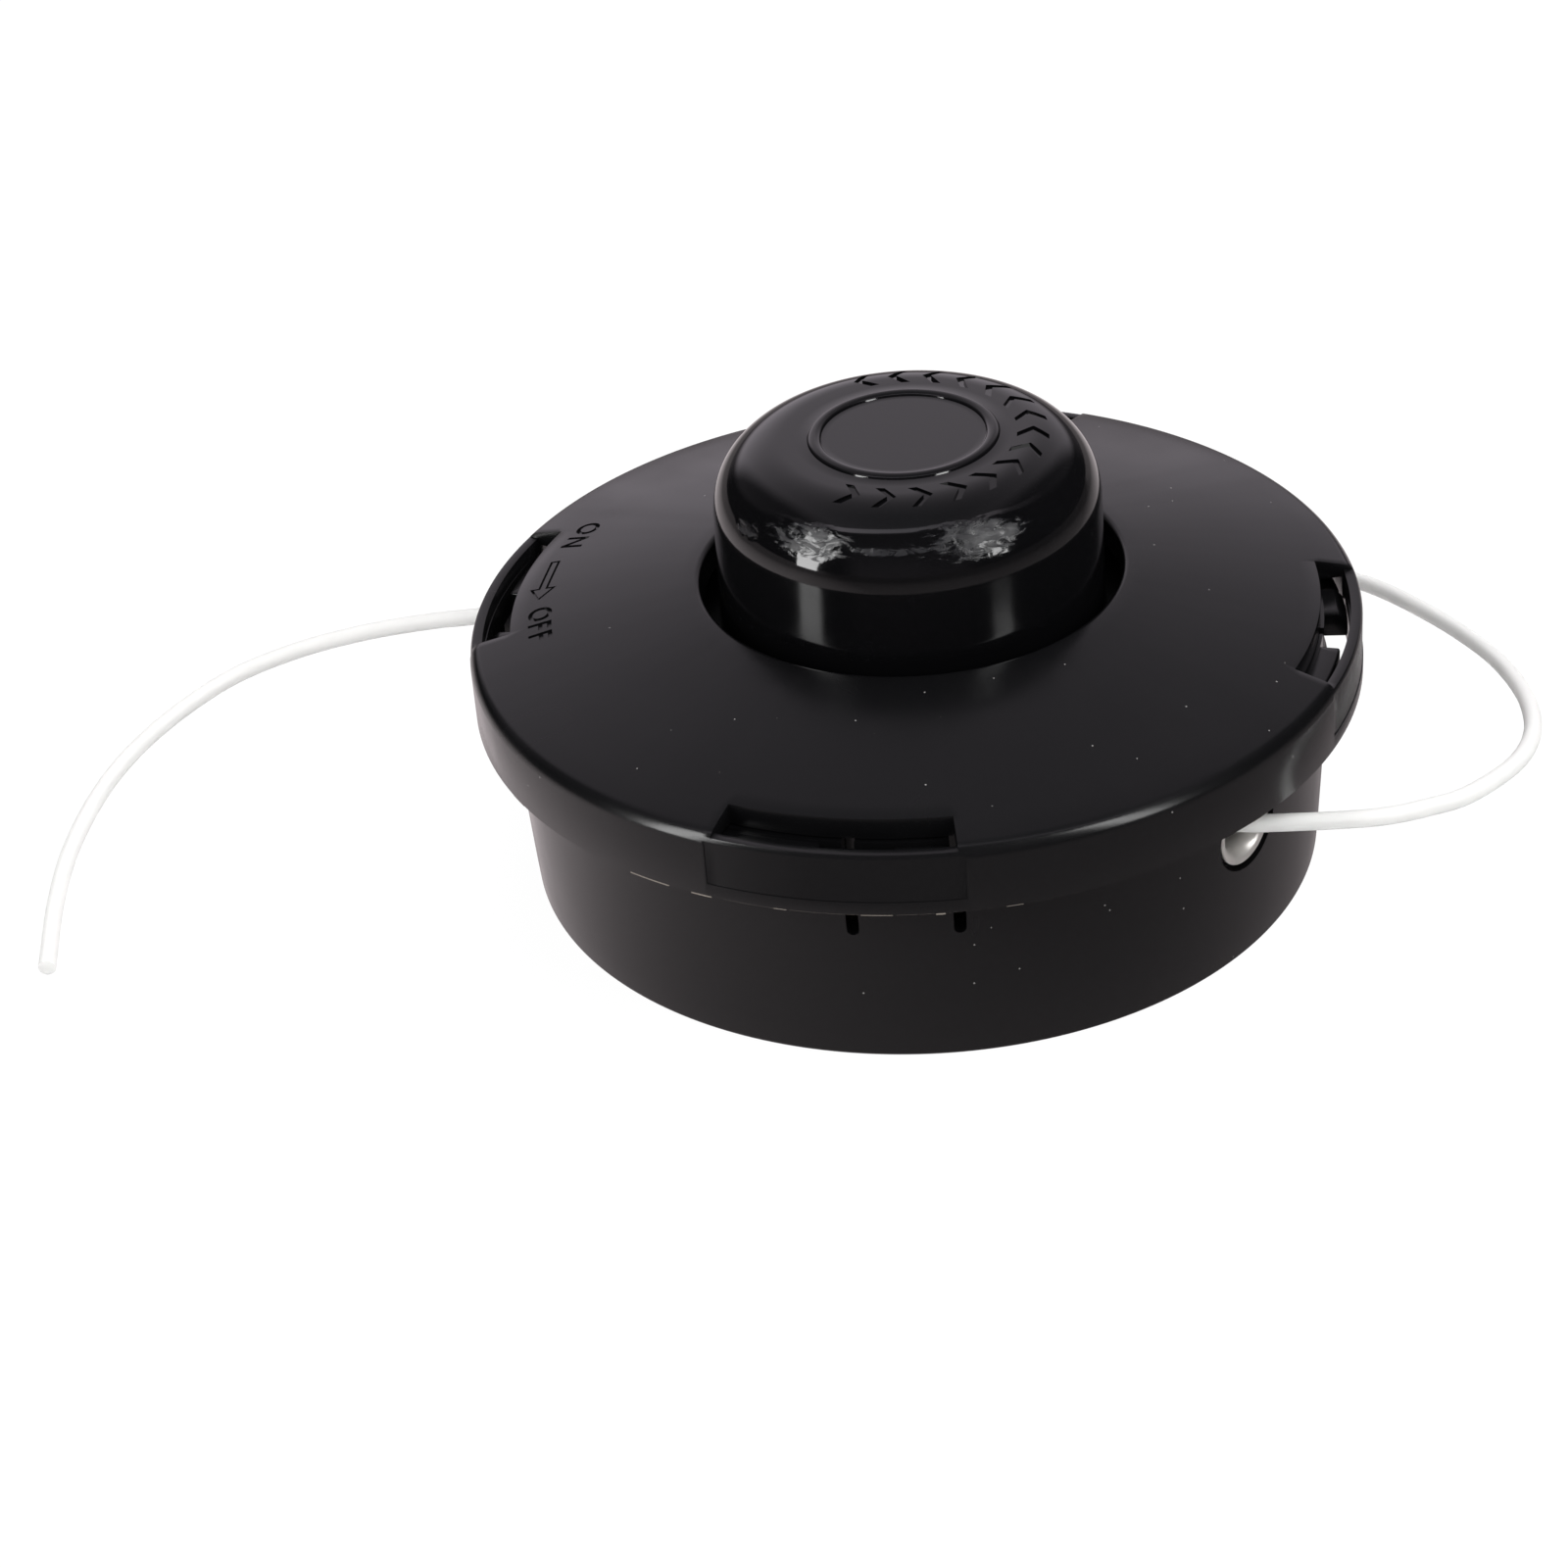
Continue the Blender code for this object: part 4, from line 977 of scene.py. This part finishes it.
def new_material(name):
    made = bpy.data.materials.new(name)
    made.use_nodes = True
    tree = made.node_tree
    return made, tree, tree.nodes["Principled BSDF"]


# %% [markdown]
# The cup and the cover are injection-moulded glass-filled nylon, PA6: near black, with a satin
# skin. To the eye that gives a soft grey sheen at low angles, faint flow marks that run out from
# the middle, and a fine grain. White specks are dust from the workshop.

# %% Moulded black nylon
NYLON_IOR = 1.53


def moulded_nylon(name, base, rough):
    made, tree, shader = new_material(name)
    place = add(tree, "TexCoord").outputs["Object"]
    drift = add(tree, "TexNoise", {"Vector": place, "Scale": per_mm(22), "Detail": 3.0})
    parts = add(tree, "SeparateXYZ", {"Vector": place})
    turn = add(tree, "Math", {0: parts.outputs["Y"], 1: parts.outputs["X"]}, operation="ARCTAN2")
    away = add(tree, "VectorMath", {0: place}, operation="LENGTH")
    flow_place = add(tree, "CombineXYZ", {"X": turn.outputs[0], "Y": away.outputs["Value"]})
    stretched = add(tree, "Mapping", {"Vector": flow_place.outputs[0], "Scale": (5.0, 18.0, 1.0)})
    flow = add(tree, "TexNoise", {"Vector": stretched.outputs[0], "Scale": 1.0, "Detail": 2.0})
    grain = add(tree, "TexNoise", {"Vector": place, "Scale": per_mm(0.35), "Detail": 2.0})

    sheen = add(
        tree,
        "MapRange",
        {
            "Value": drift.outputs["Fac"],
            "From Min": 0.3, "From Max": 0.7, "To Min": rough - 0.05, "To Max": rough + 0.05,
        },
    )
    streak = add(
        tree,
        "MapRange",
        {
            "Value": flow.outputs["Fac"],
            "From Min": 0.35, "From Max": 0.65, "To Min": -0.03, "To Max": 0.03,
        },
    )
    roughness = add(tree, "Math", {0: sheen.outputs[0], 1: streak.outputs[0]}, operation="ADD")

    specks = add(tree, "TexVoronoi", {"Vector": place, "Scale": per_mm(2.7)})
    near = add(tree, "Math", {0: specks.outputs["Distance"], 1: 0.042}, operation="LESS_THAN")
    chosen = add(tree, "SeparateColor", {"Color": specks.outputs["Color"]})
    few = add(tree, "Math", {0: chosen.outputs[0], 1: 0.64}, operation="GREATER_THAN")
    dust = add(tree, "Math", {0: near.outputs[0], 1: few.outputs[0]}, operation="MULTIPLY")
    faint = add(tree, "Math", {0: dust.outputs[0], 1: 0.3}, operation="MULTIPLY")
    tone = add(
        tree,
        "Mix",
        {"Factor": faint.outputs[0], "A": colour(base), "B": colour("#c9c7c4")},
        data_type="RGBA",
    )
    waves = add(
        tree, "Bump", {"Height": flow.outputs["Fac"], "Strength": 0.4, "Distance": 0.1 * MM}
    )
    bump = add(
        tree,
        "Bump",
        {
            "Height": grain.outputs["Fac"], "Strength": 0.25, "Distance": 0.02 * MM,
            "Normal": waves.outputs["Normal"],
        },
    )
    tree.links.new(tone.outputs["Result"], shader.inputs["Base Color"])
    tree.links.new(roughness.outputs[0], shader.inputs["Roughness"])
    tree.links.new(bump.outputs["Normal"], shader.inputs["Normal"])
    shader.inputs["IOR"].default_value = NYLON_IOR
    shader.inputs["Specular IOR Level"].default_value = 0.35
    return made


casing_nylon = moulded_nylon("moulded_black_nylon", "#0a0a0b", 0.22)
torn_nylon = moulded_nylon("torn_black_nylon", "#746d65", 0.5)

# %% [markdown]
# The knob is moulded from unfilled nylon in a polished tool, so it is blacker and glossier. The
# scuffed front of its shoulder is duller and greyer, and fine scratches cross it.

# %% Glossy knob
knob_nylon, tree, shader = new_material("polished_black_nylon")
place = add(tree, "TexCoord").outputs["Object"]
haze = add(tree, "TexNoise", {"Vector": place, "Scale": per_mm(9), "Detail": 4.0})
wear = add(tree, "Attribute", attribute_name="wear").outputs["Fac"]
parts = add(tree, "SeparateXYZ", {"Vector": place})
turn = add(tree, "Math", {0: parts.outputs["Y"], 1: parts.outputs["X"]}, operation="ARCTAN2")
round_it = add(tree, "Math", {0: turn.outputs[0], 1: KNOB_RADIUS * MM}, operation="MULTIPLY")
unrolled = add(tree, "CombineXYZ", {"X": round_it.outputs[0], "Y": parts.outputs["Z"]})
slanted = add(
    tree,
    "Mapping",
    {"Vector": unrolled.outputs[0], "Rotation": (0.0, 0.0, 0.35), "Scale": (0.3, 1.0, 1.0)},
)
smear = add(
    tree,
    "TexNoise",
    {
        "Vector": slanted.outputs[0], "Scale": per_mm(1.1),
        "Detail": 5.0, "Roughness": 0.65, "Distortion": 1.2,
    },
)
rubbed = add(
    tree,
    "MapRange",
    {
        "Value": smear.outputs["Fac"],
        "From Min": 0.36, "From Max": 0.64, "To Min": -0.95, "To Max": 0.08,
    },
)
edge_of_wear = add(tree, "Math", {0: wear, 1: rubbed.outputs[0]}, operation="ADD")
scuffed = add(
    tree,
    "MapRange",
    {
        "Value": edge_of_wear.outputs[0],
        "From Min": 0.1, "From Max": 0.6, "To Min": 0.0, "To Max": 1.0,
    },
)
gloss = add(
    tree,
    "MapRange",
    {
        "Value": haze.outputs["Fac"],
        "From Min": 0.3, "From Max": 0.7, "To Min": 0.05, "To Max": 0.09,
    },
)
roughness = add(
    tree, "Mix", {"Factor": scuffed.outputs[0], "A": gloss.outputs[0], "B": 0.34}, data_type="FLOAT"
)
tone = add(
    tree,
    "Mix",
    {"Factor": scuffed.outputs[0], "A": colour("#070708"), "B": colour("#1a1a1c")},
    data_type="RGBA",
)
stretched = add(
    tree,
    "Mapping",
    {"Vector": place, "Rotation": (0.0, 0.0, 0.5), "Scale": (30.0, 1200.0, 900.0)},
)
scratches = add(tree, "TexNoise", {"Vector": stretched.outputs[0], "Scale": 1.0, "Detail": 2.0})
height = add(
    tree,
    "Mix",
    {"Factor": scuffed.outputs[0], "A": 0.5, "B": smear.outputs["Fac"]},
    data_type="FLOAT",
)
fine = add(
    tree, "Bump", {"Height": scratches.outputs["Fac"], "Strength": 0.08, "Distance": 0.02 * MM}
)
bump = add(
    tree,
    "Bump",
    {
        "Height": height.outputs["Result"], "Strength": 0.7, "Distance": 0.3 * MM,
        "Normal": fine.outputs["Normal"],
    },
)
tree.links.new(tone.outputs["Result"], shader.inputs["Base Color"])
tree.links.new(roughness.outputs["Result"], shader.inputs["Roughness"])
tree.links.new(bump.outputs["Normal"], shader.inputs["Normal"])
shader.inputs["IOR"].default_value = NYLON_IOR

# %% [markdown]
# The line is extruded nylon monofilament: milky, half clear, with faint lengthwise draw lines.
# Light goes into it and comes out softened, so it gets some transmission and some subsurface.

# %% Milky line
line_nylon, tree, shader = new_material("milky_nylon_line")
place = add(tree, "TexCoord").outputs["Object"]
cloud = add(tree, "TexNoise", {"Vector": place, "Scale": per_mm(6), "Detail": 3.0})
tone = add(
    tree,
    "Mix",
    {"Factor": cloud.outputs["Fac"], "A": colour("#e6e6e4"), "B": colour("#e0e1df")},
    data_type="RGBA",
)
rough = add(
    tree,
    "MapRange",
    {
        "Value": cloud.outputs["Fac"],
        "From Min": 0.3, "From Max": 0.7, "To Min": 0.4, "To Max": 0.5,
    },
)
tree.links.new(tone.outputs["Result"], shader.inputs["Base Color"])
tree.links.new(rough.outputs[0], shader.inputs["Roughness"])
shader.inputs["IOR"].default_value = NYLON_IOR
shader.inputs["Transmission Weight"].default_value = 0.35
shader.inputs["Subsurface Weight"].default_value = 0.5
shader.inputs["Subsurface Radius"].default_value = (1.0, 1.0, 1.0)
shader.inputs["Subsurface Scale"].default_value = 1.5 * MM

# %% [markdown]
# The eyelets, the washer and the arbor insert are zinc-plated steel: bright, a little uneven,
# with hair scratches from handling. The spring is drawn wire, darker. The spool is plain moulded
# plastic, a little paler and duller than the casing, and comes from the same function.

# %% Steel and spool


def steel(name, base, rough, grit):
    made, tree, shader = new_material(name)
    place = add(tree, "TexCoord").outputs["Object"]
    cloud = add(tree, "TexNoise", {"Vector": place, "Scale": per_mm(4), "Detail": 4.0})
    scratches = add(
        tree,
        "TexNoise",
        {"Vector": place, "Scale": per_mm(grit), "Detail": 3.0, "Distortion": 2.0},
    )
    roughness = add(
        tree,
        "MapRange",
        {
            "Value": cloud.outputs["Fac"],
            "From Min": 0.3, "From Max": 0.7, "To Min": rough - 0.07, "To Max": rough + 0.07,
        },
    )
    tone = add(
        tree,
        "Mix",
        {"Factor": cloud.outputs["Fac"], "A": colour(base), "B": colour("#b5b2ae")},
        data_type="RGBA",
    )
    bump = add(
        tree, "Bump", {"Height": scratches.outputs["Fac"], "Strength": 0.3, "Distance": 0.02 * MM}
    )
    tree.links.new(tone.outputs["Result"], shader.inputs["Base Color"])
    tree.links.new(roughness.outputs[0], shader.inputs["Roughness"])
    tree.links.new(bump.outputs["Normal"], shader.inputs["Normal"])
    shader.inputs["Metallic"].default_value = 0.8
    return made


plated_steel = steel("zinc_plated_steel", "#efece8", 0.34, 0.5)
spring_wire = steel("drawn_spring_wire", "#a5a4a2", 0.35, 0.3)
spool_plastic = moulded_nylon("moulded_spool_plastic", "#1b1b1c", 0.45)


def finish(piece, material):
    piece.data.materials.clear()
    piece.data.materials.append(material)
    for face in getattr(piece.data, "polygons", []):
        face.material_index = 0


finish(cover, casing_nylon)
finish(cup, casing_nylon)
finish(knob, knob_nylon)
finish(flash, torn_nylon)
for piece in line_pieces + [roll]:
    finish(piece, line_nylon)
for piece in eyelets + [insert]:
    finish(piece, plated_steel)
finish(spring, spring_wire)

for name, material in (
    ("spool", spool_plastic),
    ("thrust_washer", plated_steel),
):
    for slot in nodes[name].material_slots:
        slot.material = material

# %% [markdown]
# The head stands in a white sweep. In its gloss the world is bright behind the head and dark in
# front of it, as in a dark room, and that gives the dome its soft grey sheen at the back. A narrow
# brighter band where the two meet is the thin arc on the knob's shoulder.

# %% World
BEHIND_THE_HEAD, TO_THE_RIGHT = (-0.25, 0.968, 1.5), (0.98, 0.199, 0.0)
BACKDROP_LEVEL = 1.04  # what the camera sees, just past white


def backdrop_share(tree, ray):
    """1 for what the camera sees, also through the clear line, and 0 for light on the head."""
    either = {0: ray.outputs["Is Camera Ray"], 1: ray.outputs["Is Transmission Ray"]}
    return add(tree, "Math", either, operation="MAXIMUM").outputs[0]


world = bpy.data.worlds.new("studio")
bpy.context.scene.world = world
world.use_nodes = True
tree = world.node_tree
tree.nodes.clear()
direction = add(tree, "TexCoord").outputs["Generated"]
parts = add(tree, "SeparateXYZ", {"Vector": direction})
bands = add(tree, "ValToRGB", {"Fac": parts.outputs["Z"]})
ramp = bands.color_ramp
ramp.elements[0].position, ramp.elements[0].color = 0.0, (1.0, 0.9, 0.98, 1)
ramp.elements[1].position, ramp.elements[1].color = 1.0, (0.16, 0.158, 0.172, 1)
for position, level in ((0.2, 0.88), (0.44, 0.64), (0.84, 0.3)):
    stop = ramp.elements.new(position)
    stop.color = (level, level * 0.92, level * 1.01, 1)
behind = add(tree, "VectorMath", {0: direction, 1: BEHIND_THE_HEAD}, operation="DOT_PRODUCT")
sides = add(
    tree,
    "MapRange",
    {
        "Value": behind.outputs["Value"],
        "From Min": 0.98, "From Max": 1.16, "To Min": 0.12, "To Max": 1.0,
    },
    interpolation_type="SMOOTHSTEP",
)
edge_line = add(tree, "Math", {0: behind.outputs["Value"], 1: 1.13, 2: 0.08}, operation="COMPARE")
high_up = add(
    tree,
    "MapRange",
    {"Value": parts.outputs["Z"], "From Min": 0.6, "From Max": 0.8, "To Min": 0.0, "To Max": 4.5},
)
bar = add(tree, "Math", {0: edge_line.outputs[0], 1: high_up.outputs[0]}, operation="MULTIPLY")
lit = add(tree, "Math", {0: sides.outputs[0], 1: bar.outputs[0]}, operation="ADD")
beside = add(tree, "VectorMath", {0: direction, 1: TO_THE_RIGHT}, operation="DOT_PRODUCT")
either = add(tree, "Math", {0: beside.outputs["Value"]}, operation="ABSOLUTE")
wall_end = add(
    tree,
    "MapRange",
    {"Value": either.outputs[0], "From Min": 0.45, "From Max": 0.66, "To Min": 1.0, "To Max": 0.12},
    interpolation_type="SMOOTHSTEP",
)
dimmer_right = add(
    tree,
    "MapRange",
    {
        "Value": beside.outputs["Value"],
        "From Min": 0.0, "From Max": 0.3, "To Min": 1.0, "To Max": 0.72,
    },
    interpolation_type="SMOOTHSTEP",
)
wall = add(tree, "Math", {0: wall_end.outputs[0], 1: dimmer_right.outputs[0]}, operation="MULTIPLY")
level = add(tree, "Math", {0: lit.outputs[0], 1: wall.outputs[0]}, operation="MULTIPLY")
studio = add(tree, "Background", {"Color": bands.outputs["Color"], "Strength": level.outputs[0]})
white = add(tree, "Background", {"Color": (1, 1, 1, 1), "Strength": BACKDROP_LEVEL})
seen = backdrop_share(tree, add(tree, "LightPath"))
both = add(tree, "MixShader", {0: seen, 1: studio.outputs[0], 2: white.outputs[0]})
add(tree, "OutputWorld", {"Surface": both.outputs[0]})

# %% [markdown]
# The floor is a pale disc, wide enough to fill the view. The camera sees it nearly white, with a
# faint shadow of the head. What the gloss of the plastic mirrors is set apart from that, as a
# painted reflection: the floor glows for glossy rays, darker, and darkest to the front right and
# far away, which fits the photograph's reflections.

# %% Floor
FLOOR_RADIUS = 3000.0
TO_THE_BACK_LEFT = (-0.8, 0.6, 0.0)
BACKDROP_ON_FLOOR = 0.92  # the rest of what the camera sees there is the lit floor and its shadow
deselect()
bpy.ops.mesh.primitive_circle_add(vertices=96, radius=FLOOR_RADIUS * MM, fill_type="NGON")
floor = bpy.context.object
floor.name = "studio_floor"
floor_paint, tree, shader = new_material("pale_floor")
shader.inputs["Base Color"].default_value = colour("#dcdcdc")
shader.inputs["Roughness"].default_value = 0.9
shader.inputs["Specular IOR Level"].default_value = 0.0
glow = add(tree, "Emission", {"Color": (1, 1, 1, 1), "Strength": BACKDROP_LEVEL})
ray = add(tree, "LightPath")
seen = backdrop_share(tree, ray)
share = add(tree, "Math", {0: seen, 1: BACKDROP_ON_FLOOR}, operation="MULTIPLY")
plain = add(tree, "MixShader", {0: share.outputs[0], 1: shader.outputs[0], 2: glow.outputs[0]})
# Painted reflection: for glossy rays the floor glows by place instead of being lit, darkest to the
# front right and far away.
place = add(tree, "TexCoord").outputs["Object"]
behind = add(tree, "VectorMath", {0: place, 1: TO_THE_BACK_LEFT}, operation="DOT_PRODUCT")
level = add(
    tree,
    "MapRange",
    {
        "Value": behind.outputs["Value"],
        "From Min": -0.07, "From Max": 0.05, "To Min": 0.24, "To Max": 0.8,
    },
)
away = add(tree, "VectorMath", {0: place}, operation="LENGTH")
far = add(
    tree,
    "MapRange",
    {
        "Value": away.outputs["Value"],
        "From Min": 0.15, "From Max": 0.4, "To Min": 1.0, "To Max": 0.3,
    },
)
level = add(tree, "Math", {0: level.outputs[0], 1: far.outputs[0]}, operation="MULTIPLY")
painted_floor_reflection = add(tree, "Emission", {"Color": (1.03, 0.93, 0.95, 1), "Strength": level.outputs[0]})
both = add(
    tree,
    "MixShader",
    {0: ray.outputs["Is Glossy Ray"], 1: plain.outputs[0], 2: painted_floor_reflection.outputs[0]},
)
tree.links.new(both.outputs[0], tree.nodes["Material Output"].inputs["Surface"])
floor.data.materials.append(floor_paint)


# %% [markdown]
# Lamps could be points or a sun, but glossy plastic mirrors the shape of what lights it, so these
# are area lamps, as a studio has. Two upright softboxes at the front make the streaks on the knob
# and on the cover's edge, and three lamps that don't show in reflections fill the shadows.

# %% Lamps
LAMP_AIM = 30.0  # height of the point that every lamp faces


def softbox(name, degrees, elevation, distance, width, height, power, in_gloss=True):
    """A rectangular lamp that faces the head, placed by its direction and distance in mm."""
    a, e = math.radians(degrees), math.radians(elevation)
    place = (
        distance * math.cos(a) * math.cos(e),
        distance * math.sin(a) * math.cos(e),
        distance * math.sin(e) + LAMP_AIM,
    )
    bpy.ops.object.light_add(type="AREA")
    lamp = bpy.context.object
    lamp.name = name
    lamp.data.shape = "RECTANGLE"
    lamp.data.size = width * MM
    lamp.data.size_y = height * MM
    lamp.data.energy = power
    lamp.visible_glossy = in_gloss
    lamp.matrix_world = looking(place, (0, 0, LAMP_AIM))
    return lamp


softbox("strip_left", -138, 21, 1000, 235, 900, 7.0)
softbox("strip_right", -28, 30, 1000, 200, 760, 4.2)
softbox("overhead_fill", 80, 62, 1100, 900, 900, 9.0, in_gloss=False)
softbox("front_fill", -80, 40, 1100, 900, 700, 6.5, in_gloss=False)
softbox("right_fill", 20, 48, 1100, 700, 700, 8.0, in_gloss=False)

# %% [markdown]
# The Standard view shows each colour about as it is written.

# %% Show it plainly
scene = bpy.context.scene
scene.view_settings.view_transform = "Standard"
